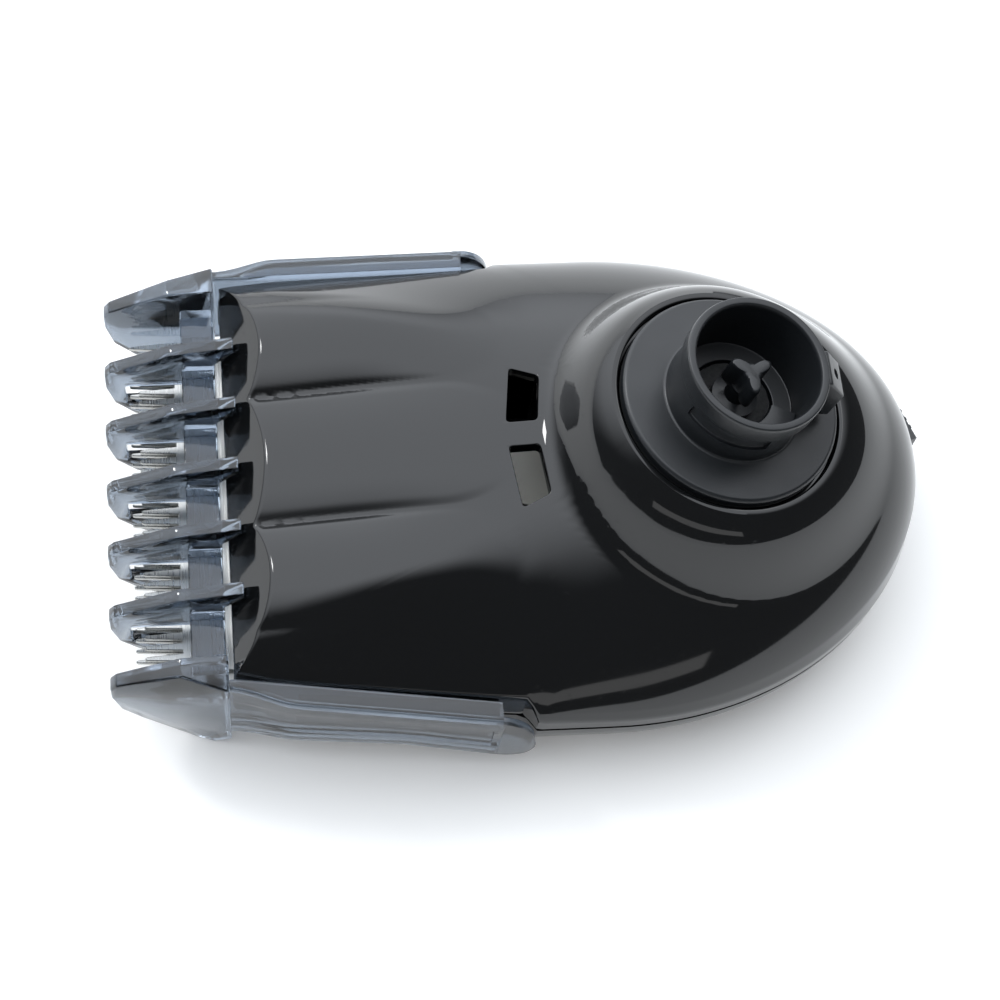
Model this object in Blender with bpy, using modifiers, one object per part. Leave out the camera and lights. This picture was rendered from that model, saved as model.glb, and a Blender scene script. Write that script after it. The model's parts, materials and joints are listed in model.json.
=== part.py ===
"""Clip-on beard styler attachment with a sliding guard comb.

Metres, +Z up.  The coupling side faces up and the skin side faces down, -X is
the cutting edge.  The origin is at the middle of the footprint, on the flat
skin-side face that the attachment rests on.
"""
import math

import bmesh
import bpy
from mathutils import Matrix, Vector

MM = 0.001

# ---- overall sizes ----
BODY_HALF = 21.4 * MM        # half width at the widest station
WIDE_X = 5.9 * MM            # that station
REAR_X = 33.2 * MM           # rear end of both shells
FRONT_X = -25.5 * MM         # lower edge of the slanted front wall
PART_Z = 7.0 * MM            # parting plane between the shells
WALL = 1.2 * MM
GAP = 0.3 * MM               # between pieces that touch
FIT = 0.08 * MM              # radial running clearance

# ---- housing ----
NECK_HALF = 17.6 * MM        # half width at the front, between the comb arms
NECK_FLARE = 0.098           # sideways per unit of length, of the arm recess
RECESS_END_X = -2.0 * MM
RECESS_STEP = 0.8 * MM
RECESS_PROUD = 1.02 * MM     # the step behind an arm stands out by this
SHOULDER_Z = 12.7 * MM       # lower edge of the front wall and of its shoulders
SHOULDER_DROP = 0.1          # the shoulder edge falls by this toward the rear
SHOULDER_SLOPE = 0.93
FRONT_SLOPE = 1.03           # rise of the front wall per unit of length
LIP_BACK = 1.2 * MM          # the front wall turns under by this
LIP_DROP = 3.5 * MM
CROWN_Z = 18.75 * MM         # height of the centre line above x = 0
CROWN_FRONT_RISE = 0.15
CROWN_REAR_RISE = 0.19
DOME_BASE_Z = 8.6 * MM
LOBE_RISE = 1.1 * MM
LOBE_SIDE_Y = 10.1 * MM
LOBE_SIDE_RADIUS = 4.4 * MM
LOBE_MID_RADIUS = 5.6 * MM
LOBE_END_X = -8.5 * MM
AROUND = (8, 5, 9)           # rays to the front edge, the recess and the rear, on one side
SPOKES = (0.0, 0.14, 0.29, 0.45, 0.63, 0.81, 0.94, 1.0)

# ---- coupling ----
SPIGOT_X = 14.67 * MM        # centre of the flange's upper face
SPIGOT_Z = 23.42 * MM
SPIGOT_TILT = math.radians(10.16)
FLANGE_R = 9.07 * MM
FLANGE_THICK = 1.2 * MM
SEAT_PROUD = 0.6 * MM        # flange edge standing above its collar
COLLAR_R = FLANGE_R + 5.93 * MM
TUBE_OUT_R = 5.6 * MM
TUBE_IN_R = 5.1 * MM
TUBE_HEIGHT = 5.9 * MM
LIP_R = 5.87 * MM
LIP_HEIGHT = 1.8 * MM
LEDGE_R = 3.5 * MM
KEY_R = 7.7 * MM
KEY_WIDTH = 3.0 * MM
HUB_R = 4.2 * MM
HUB_DEPTH = 6.2 * MM
SPIGOT_SCREW_R = 7.2 * MM

# ---- drive ----
SHAFT_R = 1.0 * MM
BUSH_R = 2.2 * MM
BUSH_LENGTH = 5.0 * MM
HEAD_TOP = 4.55 * MM
HEAD_LOBE_R = 1.25 * MM
CAM_R = 3.2 * MM
CAM_TOP = 8.0 * MM
CAM_THICK = 2.2 * MM
PIN_R = 0.8 * MM
THROW = 1.0 * MM
PIN_END = 14.6 * MM
LEVER_X = -5.0 * MM
LEVER_Z = 9.6 * MM
LEVER_THICK = 1.6 * MM
LEVER_FRONT = 15.8 * MM
FORK_LENGTH = 5.6 * MM
FORK_WALL = 1.5 * MM
PIVOT_R = 1.0 * MM
FRAME_Z = 7.6 * MM
FRAME_THICK = 1.0 * MM
FRAME_EAR_X = 4.0 * MM
FRAME_EAR_Y = 9.5 * MM

# ---- cutter ----
TOOTH_PITCH = 0.93 * MM
CUTTER_EDGE = 1.75 * MM      # the blade ends this far inside the neck
FIXED_TEETH = int((NECK_HALF - CUTTER_EDGE) * 2 / TOOTH_PITCH)
MOVING_TEETH = FIXED_TEETH - 2
FIXED_Z = 6.3 * MM
BLADE_THICK = 0.45 * MM
BLADE_GAP = 0.1 * MM
FIXED_TIP_X = -33.2 * MM
MOVING_BACK = 0.75 * MM
TOOTH_LENGTH = 3.0 * MM
FIXED_REAR_X = -16.6 * MM
MOVING_REAR_X = -20.0 * MM
HOLDER_THICK = 1.6 * MM
BLADE_SCREW_X = -18.1 * MM
BLADE_SCREW_Y = 8.5 * MM
DRIVER_HALF = 5.0 * MM

# ---- length setting ----
SELECTOR_Z = 3.2 * MM
SELECTOR_THICK = 1.4 * MM
SELECTOR_REST = math.radians(20)   # turn of the tab from the centre line, at rest
SETTINGS = 5
CAM_START_R = 12.0 * MM
COMB_TRAVEL = 5.0 * MM
FOLLOWER_R = 0.8 * MM
TAB_REACH = 2.0 * MM         # tab standing out behind the shells
CARRIAGE_Z = 5.2 * MM
CARRIAGE_THICK = 1.2 * MM
CARRIAGE_REAR_X = -5.0 * MM
CARRIAGE_LENGTH = 5.0 * MM
RAIL_TOP_Z = 9.4 * MM
RAIL_THICK = 0.8 * MM

# ---- comb ----
RIB_PITCH = 5.45 * MM
RIB_THICK = 1.1 * MM
CHEEK_IN_Y = NECK_HALF - 1.5 * MM
CHEEK_OUT_Y = CHEEK_IN_Y + 1.2 * MM
COMB_TIP_X = -35.1 * MM
ARM_THICK = 0.8 * MM
ARM_END_X = -1.3 * MM
CHANNEL_END_X = -4.3 * MM

# ---- screws ----
SCREW_R = 0.8 * MM
SCREW_HEAD_R = 1.5 * MM
SCREW_HEAD = 1.0 * MM
BOSS_R = 1.9 * MM
COVER_SCREWS = ((-1.5 * MM, NECK_HALF - 3.4 * MM), (REAR_X - 12.7 * MM, 11.0 * MM))

# The selector turns about the centre of curvature of the rear rim.
SELECTOR_X = REAR_X - BODY_HALF ** 2 / (REAR_X - WIDE_X)

PARTS = "beard_styler_attachment"
CUTTERS = "cutters"


# ---------------------------------------------------------------- scene helpers

def clear_scene():
    for item in list(bpy.data.objects):
        bpy.data.objects.remove(item, do_unlink=True)


def collection(name):
    made = bpy.data.collections.new(name)
    bpy.context.scene.collection.children.link(made)
    return made


def material(name, colour, roughness, metallic=0.0, alpha=1.0):
    made = bpy.data.materials.new(name)
    made.use_nodes = True
    shader = made.node_tree.nodes["Principled BSDF"]
    shader.inputs["Base Color"].default_value = (*colour, 1.0)
    shader.inputs["Roughness"].default_value = roughness
    shader.inputs["Metallic"].default_value = metallic
    shader.inputs["Alpha"].default_value = alpha
    made.diffuse_color = (*colour, alpha)
    return made


def place(name, bm, finish=None, cutter=False):
    """Link a finished bmesh as one object, among the parts or the cutters."""
    mesh = bpy.data.meshes.new(name)
    bmesh.ops.recalc_face_normals(bm, faces=bm.faces)
    bm.to_mesh(mesh)
    bm.free()
    made = bpy.data.objects.new(name, mesh)
    bpy.data.collections[CUTTERS if cutter else PARTS].objects.link(made)
    if finish:
        mesh.materials.append(finish)
    if cutter:
        made.hide_render = True
        made.display_type = "WIRE"
    mesh.shade_smooth()
    mesh.set_sharp_from_angle(angle=math.radians(35))
    return made


def change(body, tools, operation):
    """Join tools to a body, or cut them out of it."""
    for tool in tools:
        step = body.modifiers.new(operation.lower(), "BOOLEAN")
        step.operation = operation
        step.solver = "EXACT"
        step.object = tool
    return body


# ---------------------------------------------------------------- plain shapes

def add_box(bm, low, high):
    made = bmesh.ops.create_cube(bm, size=1.0)["verts"]
    low = Vector(low)
    high = Vector(high)
    for vert in made:
        vert.co = Vector([low[i] + (high[i] - low[i]) * (vert.co[i] + 0.5) for i in range(3)])
    return made


def box(name, low, high, finish=None, cutter=True):
    bm = bmesh.new()
    add_box(bm, low, high)
    return place(name, bm, finish, cutter)


def add_round(bm, x, y, low, high, radius, sides=20, frame=None):
    """An upright cylinder, or one along the axis of a frame."""
    made = bmesh.ops.create_cone(bm, cap_ends=True, segments=sides, radius1=radius,
                                 radius2=radius, depth=high - low)["verts"]
    bmesh.ops.translate(bm, verts=made, vec=(x, y, (low + high) / 2))
    if frame:
        bmesh.ops.transform(bm, verts=made, matrix=frame)
    return made


def round_bar(name, x, y, low, high, radius, sides=20, frame=None, finish=None, cutter=True):
    bm = bmesh.new()
    add_round(bm, x, y, low, high, radius, sides, frame)
    return place(name, bm, finish, cutter)


def slab(name, outline, low, high, finish=None, cutter=False, frame=None):
    """A flat outline given thickness, as a mesh."""
    bm = bmesh.new()
    verts = [bm.verts.new((x, y, low)) for x, y in outline]
    face = bm.faces.new(verts)
    grown = bmesh.ops.extrude_face_region(bm, geom=[face])["geom"]
    top = [item for item in grown if isinstance(item, bmesh.types.BMVert)]
    bmesh.ops.translate(bm, verts=top, vec=(0, 0, high - low))
    if frame:
        bmesh.ops.transform(bm, verts=bm.verts, matrix=frame)
    return place(name, bm, finish, cutter)


def turned(name, profile, frame, finish=None, cutter=False, sides=32):
    """A closed profile of (radius, height) spun about a frame's axis."""
    bm = bmesh.new()
    verts = [bm.verts.new((radius, 0, height)) for radius, height in profile]
    edges = [bm.edges.new((a, b)) for a, b in zip(verts, verts[1:] + verts[:1])]
    bmesh.ops.spin(bm, geom=verts + edges, cent=(0, 0, 0), axis=(0, 0, 1), steps=sides,
                   angle=2 * math.pi, use_merge=True)
    bmesh.ops.remove_doubles(bm, verts=bm.verts, dist=0.000005)
    bmesh.ops.transform(bm, verts=bm.verts, matrix=frame)
    return place(name, bm, finish, cutter)


def loft(bm, rings, close_start=False, close_end=False):
    """Quads between closed rings of equal length."""
    rows = [[bm.verts.new(point) for point in ring] for ring in rings]
    count = len(rows[0])
    for row, following in zip(rows, rows[1:]):
        for i in range(count):
            j = (i + 1) % count
            bm.faces.new((row[i], row[j], following[j], following[i]))
    if close_start:
        bm.faces.new(rows[0])
    if close_end:
        bm.faces.new(rows[-1])


# ---------------------------------------------------------------- form of the body

def smoothstep(low, high, value):
    share = min(1.0, max(0.0, (value - low) / (high - low)))
    return share * share * (3 - 2 * share)


def soft_min(a, b, width):
    share = max(width - abs(a - b), 0.0) / width
    return min(a, b) - share * share * width / 4


def neck_half(x):
    """Half width between the comb arms."""
    return NECK_HALF + NECK_FLARE * (x - FRONT_X)


def crown(x):
    rise = CROWN_FRONT_RISE if x < 0 else CROWN_REAR_RISE
    return CROWN_Z + rise * x


def lobe(x, y, centre, radius):
    along = max(0.0, x - LOBE_END_X) / 1.4
    away = math.hypot(along, y - centre) / radius
    return LOBE_RISE * max(0.0, 1 - away * away)


def front_height(x, y):
    lobes = max(lobe(x, y, side * LOBE_SIDE_Y, LOBE_SIDE_RADIUS) for side in (-1, 1))
    lobes = max(lobes, lobe(x, y, 0.0, LOBE_MID_RADIUS))
    shoulder = SHOULDER_Z - SHOULDER_DROP * max(0.0, x + 21 * MM)
    shoulder += (neck_half(x) - abs(y)) * SHOULDER_SLOPE
    return soft_min(crown(x) + lobes, shoulder, 1.2 * MM)


def dome_height(x, y):
    length = max(0.0, x - WIDE_X) / (REAR_X - WIDE_X)
    width = y / BODY_HALF
    away = min(1.0, length ** 2 + width ** 2)
    lean = length ** 2 / away if away else 0.0
    return DOME_BASE_Z + (crown(x) - DOME_BASE_Z) * (1 - away) ** (0.75 - 0.28 * lean)


def flange_height(x):
    return SPIGOT_Z - (x - SPIGOT_X) * math.tan(SPIGOT_TILT)


def spigot_distance(x, y):
    return math.hypot((x - SPIGOT_X) / math.cos(SPIGOT_TILT), y)


def body_height(x, y):
    """Upper surface of the body above a point of its plan."""
    share = smoothstep(-17 * MM, 3 * MM, x)
    height = front_height(x, y) * (1 - share) + dome_height(x, y) * share
    near = 1 - smoothstep(FLANGE_R + GAP, COLLAR_R, spigot_distance(x, y))
    return height + max(0.0, flange_height(x) - SEAT_PROUD - height) * near


def rear_point(turn):
    return WIDE_X + (REAR_X - WIDE_X) * math.sin(turn), BODY_HALF * math.cos(turn)


def half_outline(front_x):
    """Plan outline on the +Y side, from the middle of the front to the rear tip.

    Each entry is (kind, x, y).
    """
    front, recess, rear = AROUND
    points = [("front", front_x, (NECK_HALF - WALL) * i / (front - 1)) for i in range(front)]
    points.append(("corner", front_x, neck_half(front_x)))
    for i in range(1, recess + 1):
        x = front_x + (RECESS_END_X - front_x) * i / recess
        points.append(("side", x, neck_half(x)))
    x = RECESS_END_X + RECESS_STEP
    points.append(("side", x, neck_half(x) + RECESS_PROUD))
    points.append(("side", (x + WIDE_X) / 2, BODY_HALF - 0.1 * MM))
    for i in range(rear + 1):
        points.append(("rear", *rear_point(math.pi / 2 * i / rear)))
    return points


def mirrored(points):
    """The full ring from the +Y half: the -Y side runs back to the front."""
    back = [(kind, x, -y) for kind, x, y in reversed(points[1:-1])]
    return points + back


def crest_x(y):
    """Where the slanted front wall meets the upper surface."""
    x = FRONT_X
    for _ in range(12):
        x = FRONT_X + (body_height(x, y) - SHOULDER_Z) / FRONT_SLOPE
    return x


def body_rings():
    """Rings of the outer surface, from the flange collar to the parting plane."""
    outline = mirrored(half_outline(FRONT_X))
    count = len(outline)
    start_r = FLANGE_R + GAP + 0.35 * MM
    crests = []
    for kind, x, y in outline:
        crests.append((crest_x(y) if kind == "front" else x, y))
    rings = []
    for share in SPOKES:
        ring = []
        for i, (x, y) in enumerate(crests):
            turn = math.atan2(y, x - SPIGOT_X)
            near_x = SPIGOT_X + start_r * math.cos(turn) * math.cos(SPIGOT_TILT)
            near_y = start_r * math.sin(turn)
            px = near_x + (x - near_x) * share
            py = near_y + (y - near_y) * share
            ring.append((px, py, body_height(px, py)))
        rings.append(ring)
    middle = []
    lower = []
    for i in range(count):
        kind, x, y = outline[i]
        top = rings[-1][i][2]
        low = PART_Z + GAP / 2
        if kind == "front":
            middle.append((x, y, SHOULDER_Z))
            lower.append((x + LIP_BACK, y, SHOULDER_Z - LIP_DROP))
        else:
            middle.append((x, y, top * 0.55 + low * 0.45))
            lower.append((x, y, low))
    rings.append(middle)
    rings.append(lower)
    return rings


def spigot_frame():
    return Matrix.Translation((SPIGOT_X, 0, SPIGOT_Z)) @ Matrix.Rotation(SPIGOT_TILT, 4, "Y")


# ---------------------------------------------------------------- shells

def hang_boss(name, x, y, low):
    """A screw boss that ends inside the wall above it."""
    bm = bmesh.new()
    verts = add_round(bm, x, y, low, PART_Z * 2, BOSS_R, 16)
    middle = (low + PART_Z * 2) / 2
    for vert in verts:
        if vert.co.z > middle:
            top = body_height(vert.co.x, vert.co.y) - WALL / 2
            if spigot_distance(vert.co.x, vert.co.y) < FLANGE_R + GAP + MM:
                top = flange_height(vert.co.x) - FLANGE_THICK - GAP - WALL / 2
            vert.co.z = top
    return place(name, bm, cutter=True)


def window(name, side):
    """One of the pair of rinse windows in front of the flange."""
    outline = [(-3.7, 1.1), (-1.2, 1.1), (-0.68, 5.25), (-2.96, 6.24)]
    corners = [((x + 0.9) * MM, side * y * MM) for x, y in outline]
    return slab(name, corners, 14 * MM, 24 * MM, cutter=True)


def main_housing(finish):
    bm = bmesh.new()
    loft(bm, body_rings())
    body = place("main_housing", bm, finish)
    wall = body.modifiers.new("wall", "SOLIDIFY")
    wall.thickness = WALL
    wall.offset = -1.0
    wall.use_even_offset = True
    frame = spigot_frame()
    seat = -FLANGE_THICK - GAP
    rim_r = FLANGE_R + GAP
    cup = turned("seat_cup", [
        (HUB_R + GAP, seat), (rim_r, seat), (rim_r, -SEAT_PROUD + 0.1 * MM),
        (rim_r + 0.9 * MM, -SEAT_PROUD + 0.02 * MM), (rim_r + 0.9 * MM, seat - WALL),
        (HUB_R + GAP, seat - WALL)], frame, cutter=True, sides=32)
    joins = [cup]
    cuts = [round_bar("seat_clear", 0, 0, seat + 0.02 * MM, 4 * MM, rim_r - 0.02 * MM, 32, frame)]
    for side in (-1, 1):
        cuts.append(window(f"window_cut_{side}", side))
        for n, (x, y) in enumerate(COVER_SCREWS):
            joins.append(hang_boss(f"cover_boss_{n}_{side}", x, side * y, PART_Z + 0.2 * MM))
            cuts.append(round_bar(f"cover_pilot_{n}_{side}", x, side * y, PART_Z - MM,
                                  PART_Z + 5.2 * MM, SCREW_R + 0.1 * MM, 12))
        low = FRAME_Z + FRAME_THICK + GAP
        joins.append(hang_boss(f"frame_boss_{side}", FRAME_EAR_X, side * FRAME_EAR_Y, low))
        cuts.append(round_bar(f"frame_pilot_{side}", FRAME_EAR_X, side * FRAME_EAR_Y,
                              low - MM, low + 4.6 * MM, SCREW_R + 0.1 * MM, 12))
    for n in range(3):
        cuts.append(spigot_screw_bar(f"seat_hole_{n}", n, seat - WALL - MM, seat + MM,
                                     1.1 * MM + GAP))
    change(body, joins, "UNION")
    change(body, cuts, "DIFFERENCE")
    return body


def cover_point(x, y, inset):
    """A plan point moved toward the middle of the body."""
    away = Vector((x - 3 * MM, y))
    away *= max(0.0, away.length - inset) / away.length
    return 3 * MM + away.x, away.y


def cover_front_x():
    return FRONT_X + 2.3 * MM


def face_cover(finish):
    bm = bmesh.new()
    outline = mirrored(half_outline(cover_front_x()))
    rings = []
    for share, inset in ((1.0, 0.0), (0.55, 0.5 * MM), (0.24, 1.9 * MM),
                         (0.06, 4.4 * MM), (0.0, 6.6 * MM)):
        ring = []
        for kind, x, y in outline:
            top = holder_low_z() - 0.4 * MM if kind == "front" else PART_Z - GAP / 2
            px, py = cover_point(x, y, inset)
            ring.append((px, py, top * share))
        rings.append(ring)
    loft(bm, rings, close_end=True)
    body = place("face_cover", bm, finish)
    wall = body.modifiers.new("wall", "SOLIDIFY")
    wall.thickness = WALL
    wall.offset = -1.0
    wall.use_even_offset = True
    floor = WALL / 2
    joins = []
    cuts = []
    for side in (-1, 1):
        for n, (x, y) in enumerate(COVER_SCREWS):
            joins.append(round_bar(f"cover_post_{n}_{side}", x, side * y, floor,
                                   PART_Z - GAP / 3, BOSS_R, 16))
            cuts.append(round_bar(f"cover_hole_{n}_{side}", x, side * y, -MM, PART_Z + MM,
                                  SCREW_R + 0.15 * MM, 12))
            cuts.append(round_bar(f"cover_sink_{n}_{side}", x, side * y, -MM,
                                  SCREW_HEAD + 0.5 * MM, SCREW_HEAD_R + 0.25 * MM, 16))
        y = side * BLADE_SCREW_Y
        joins.append(round_bar(f"blade_post_{side}", BLADE_SCREW_X, y, floor,
                               holder_low_z() - GAP, 1.7 * MM, 16))
        cuts.append(round_bar(f"blade_pilot_{side}", BLADE_SCREW_X, y, 1.5 * MM, PART_Z,
                              0.7 * MM, 12))
        joins.append(round_bar(f"spring_post_{side}", spring_x() - 1.0 * MM, side * 6.6 * MM, floor,
                               SELECTOR_Z + SELECTOR_THICK, 0.6 * MM, 10))
        cuts.append(carriage_notch(f"carriage_notch_{side}", side))
    joins.append(round_bar("selector_post", SELECTOR_X, 0, floor, selector_post_top(),
                           2.2 * MM, 24))
    cuts.append(round_bar("selector_pilot", SELECTOR_X, 0, 1.5 * MM, PART_Z, 0.7 * MM, 12))
    cuts.append(tab_notch())
    change(body, joins, "UNION")
    change(body, cuts, "DIFFERENCE")
    return body


def carriage_notch(name, side):
    """Room in the cover's rim for the carriage and its travel."""
    low_x = CARRIAGE_REAR_X - CARRIAGE_LENGTH - COMB_TRAVEL - GAP
    y = neck_half(low_x) - 2 * WALL
    return box(name, (low_x, min(side * y, side * (y + 5 * WALL)), CARRIAGE_Z - GAP),
               (CARRIAGE_REAR_X + GAP, max(side * y, side * (y + 5 * WALL)), PART_Z + MM))


def tab_notch():
    """The slot in the rear rim that the length tab sweeps."""
    half = (REAR_X - SELECTOR_X) * math.sin(SELECTOR_REST) + 2.7 * MM
    return box("tab_notch", (REAR_X - 6.5 * MM, -half, arm_low_z() - GAP),
               (REAR_X + MM, half, PART_Z + MM))


# ---------------------------------------------------------------- coupling

def spigot_screw_bar(name, n, low, high, radius, finish=None, cutter=True):
    turn = math.radians(60 + 120 * n)
    return round_bar(name, SPIGOT_SCREW_R * math.cos(turn), SPIGOT_SCREW_R * math.sin(turn),
                     low, high, radius, 14, spigot_frame(), finish, cutter)


def coupling_spigot(finish):
    frame = spigot_frame()
    low = -FLANGE_THICK
    body = turned("coupling_spigot", [
        (LEDGE_R, -0.2 * MM), (TUBE_IN_R, -0.2 * MM), (TUBE_IN_R, TUBE_HEIGHT - 0.4 * MM),
        (TUBE_IN_R + 0.2 * MM, TUBE_HEIGHT), (LIP_R - 0.15 * MM, TUBE_HEIGHT),
        (LIP_R, TUBE_HEIGHT - 0.25 * MM), (LIP_R, TUBE_HEIGHT - LIP_HEIGHT),
        (TUBE_OUT_R, TUBE_HEIGHT - LIP_HEIGHT - 0.25 * MM), (TUBE_OUT_R, 0.0),
        (FLANGE_R - 0.3 * MM, 0.0), (FLANGE_R, -0.3 * MM), (FLANGE_R, low), (HUB_R, low),
        (HUB_R, -HUB_DEPTH), (BUSH_R + 0.1 * MM, -HUB_DEPTH), (BUSH_R + 0.1 * MM, -1.0 * MM),
        (LEDGE_R, -1.0 * MM)], frame, finish, sides=32)
    key = [(TUBE_OUT_R - 0.25 * MM, 0.7 * MM), (KEY_R, 0.7 * MM), (KEY_R, 3.9 * MM),
           (LIP_R + 0.1 * MM, TUBE_HEIGHT - 0.15 * MM),
           (TUBE_OUT_R - 0.25 * MM, TUBE_HEIGHT - 0.15 * MM)]
    upright = frame @ Matrix.Rotation(math.pi / 2, 4, "X")
    joins = [slab("key", key, -KEY_WIDTH / 2, KEY_WIDTH / 2, cutter=True, frame=upright)]
    cuts = []
    for n in range(3):
        joins.append(spigot_screw_bar(f"flange_boss_{n}", n, low - 1.3 * MM, low + 0.4 * MM, 1.1 * MM))
        cuts.append(spigot_screw_bar(f"flange_pilot_{n}", n, low - 2 * MM, low + 0.6 * MM,
                                     0.65 * MM))
    change(body, joins, "UNION")
    change(body, cuts, "DIFFERENCE")
    return body


def spindle_bush(finish):
    low = -1.0 * MM - BUSH_LENGTH
    return turned("spindle_bush", [
        (SHAFT_R + FIT, -1.0 * MM), (BUSH_R, -1.0 * MM), (BUSH_R, low), (SHAFT_R + FIT, low)],
        spigot_frame(), finish, sides=20)


def spindle_seal(finish):
    return turned("spindle_seal", [
        (SHAFT_R + FIT, -0.35 * MM), (LEDGE_R - 0.2 * MM, -0.35 * MM),
        (LEDGE_R - 0.2 * MM, -0.85 * MM), (SHAFT_R + FIT, -0.85 * MM)],
        spigot_frame(), finish, sides=20)


def drive_spindle(finish):
    """Shaft with a shoulder and a head of three lobes."""
    frame = spigot_frame()
    clip = clip_top()
    groove = SHAFT_R - 0.2 * MM
    end = -CAM_TOP - CAM_THICK + 0.3 * MM
    body = turned("drive_spindle", [
        (0.4 * MM, 2.4 * MM), (SHAFT_R, 2.4 * MM), (SHAFT_R, 0.6 * MM), (1.9 * MM, 0.5 * MM),
        (1.9 * MM, -0.2 * MM), (SHAFT_R, -0.2 * MM), (SHAFT_R, clip + 0.1 * MM),
        (groove, clip + 0.1 * MM), (groove, clip - 0.6 * MM), (SHAFT_R, clip - 0.6 * MM),
        (SHAFT_R, end), (0.4 * MM, end)], frame, finish, sides=24)
    joins = [round_bar("shaft_core", 0, 0, end, 2.4 * MM, 0.5 * MM, 12, frame)]
    joins.append(round_bar("head_core", 0, 0, 1.6 * MM, HEAD_TOP, 1.15 * MM, 18, frame))
    for n in range(3):
        turn = math.radians(30 + 120 * n)
        joins.append(round_bar(f"head_lobe_{n}", HEAD_LOBE_R * math.cos(turn),
                               HEAD_LOBE_R * math.sin(turn), 1.8 * MM, HEAD_TOP - 0.05 * MM,
                               0.62 * MM, 14, frame))
    return change(body, joins, "UNION")


def clip_top():
    """Upper face of the circlip, under the bush."""
    return -1.0 * MM - BUSH_LENGTH - 0.4 * MM


def spindle_circlip(finish):
    top = clip_top()
    inner = SHAFT_R - 0.2 * MM + 0.05 * MM
    return turned("spindle_circlip", [
        (inner, top), (SHAFT_R + MM, top), (SHAFT_R + MM, top - 0.5 * MM),
        (inner, top - 0.5 * MM)], spigot_frame(), finish, sides=20)


def eccentric_cam(finish):
    frame = spigot_frame()
    low = -CAM_TOP - CAM_THICK
    body = round_bar("eccentric_cam", 0, 0, low, -CAM_TOP, CAM_R, 28, frame, finish, False)
    pin = round_bar("cam_pin", THROW, 0, -PIN_END, low + 0.2 * MM, PIN_R, 16, frame)
    bore = round_bar("cam_bore", 0, 0, low + 0.2 * MM, -CAM_TOP + MM, SHAFT_R + 0.05 * MM, 24,
                     frame)
    change(body, [pin], "UNION")
    return change(body, [bore], "DIFFERENCE")


# ---------------------------------------------------------------- swinging lever

def pin_x(z):
    """Where the spindle axis passes a height."""
    return SPIGOT_X + (z - SPIGOT_Z) * math.tan(SPIGOT_TILT)


def drive_lever(finish):
    top = LEVER_Z + LEVER_THICK
    inner = PIN_R + 2 * THROW + GAP
    outer = inner + FORK_WALL
    root_x = pin_x(LEVER_Z) - THROW - PIN_R - 0.9 * MM
    tip_x = root_x + FORK_LENGTH
    front_x = LEVER_X - LEVER_FRONT
    outline = [(front_x, -1.3 * MM), (LEVER_X, -2.2 * MM), (root_x - 2 * MM, -outer),
               (tip_x, -outer), (tip_x, -inner), (root_x, -inner), (root_x, inner),
               (tip_x, inner), (tip_x, outer), (root_x - 2 * MM, outer), (LEVER_X, 2.2 * MM),
               (front_x, 1.3 * MM)]
    body = slab("drive_lever", outline, LEVER_Z, top, finish)
    low = FRAME_Z + FRAME_THICK + GAP
    joins = [round_bar("lever_hub", LEVER_X, 0, low, top, 3.0 * MM, 24)]
    joins.append(round_bar("lever_nose", front_x, 0, LEVER_Z, top - 0.1 * MM, 1.8 * MM, 18))
    joins.append(round_bar("lever_finger", front_x, 0, driver_top() - 1.05 * MM,
                           LEVER_Z + 0.4 * MM, 0.9 * MM, 16))
    change(body, joins, "UNION")
    bore = round_bar("lever_bore", LEVER_X, 0, PART_Z, top + MM, PIVOT_R + FIT, 24)
    change(body, [bore], "DIFFERENCE")
    body.data.transform(Matrix.Translation((-LEVER_X, 0, 0)))
    body.location = (LEVER_X, 0, 0)
    return body


def lever_pivot_pin(finish):
    top = LEVER_Z + LEVER_THICK + 1.3 * MM
    head = FRAME_Z - 0.25 * MM
    body = round_bar("lever_pivot_pin", LEVER_X, 0, head - 0.5 * MM, top, PIVOT_R, 24, None,
                     finish, False)
    flat = round_bar("pin_head", LEVER_X, 0, head - 0.55 * MM, head, 1.8 * MM, 20)
    return change(body, [flat], "UNION")


def pivot_clip(finish):
    low = LEVER_Z + LEVER_THICK + GAP
    frame = Matrix.Translation((LEVER_X, 0, low))
    inner = PIVOT_R + 0.05 * MM
    return turned("pivot_clip", [
        (inner, 0.45 * MM), (2.2 * MM, 0.45 * MM), (2.2 * MM, 0.0), (inner, 0.0)],
        frame, finish, sides=20)


def inner_frame(finish):
    top = FRAME_Z + FRAME_THICK
    ear = FRAME_EAR_Y + 2.0 * MM
    outline = [(-12.5 * MM, -6.2 * MM), (0.5 * MM, -6.2 * MM), (FRAME_EAR_X - 2 * MM, -ear),
               (FRAME_EAR_X + 2 * MM, -ear), (FRAME_EAR_X + 2.5 * MM, 0),
               (FRAME_EAR_X + 2 * MM, ear), (FRAME_EAR_X - 2 * MM, ear), (0.5 * MM, 6.2 * MM),
               (-12.5 * MM, 6.2 * MM)]
    body = slab("inner_frame", outline, FRAME_Z, top, finish)
    cuts = [round_bar("pivot_seat", LEVER_X, 0, PART_Z, top + MM, PIVOT_R + 0.05 * MM, 24)]
    for side in (-1, 1):
        cuts.append(round_bar(f"frame_hole_{side}", FRAME_EAR_X, side * FRAME_EAR_Y, PART_Z,
                              top + MM, SCREW_R + 0.15 * MM, 12))
    return change(body, cuts, "DIFFERENCE")


# ---------------------------------------------------------------- cutter

def holder_low_z():
    return FIXED_Z - GAP - HOLDER_THICK


def driver_top():
    return FIXED_Z + 2 * BLADE_THICK + BLADE_GAP + 0.15 * MM + 1.8 * MM


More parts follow.
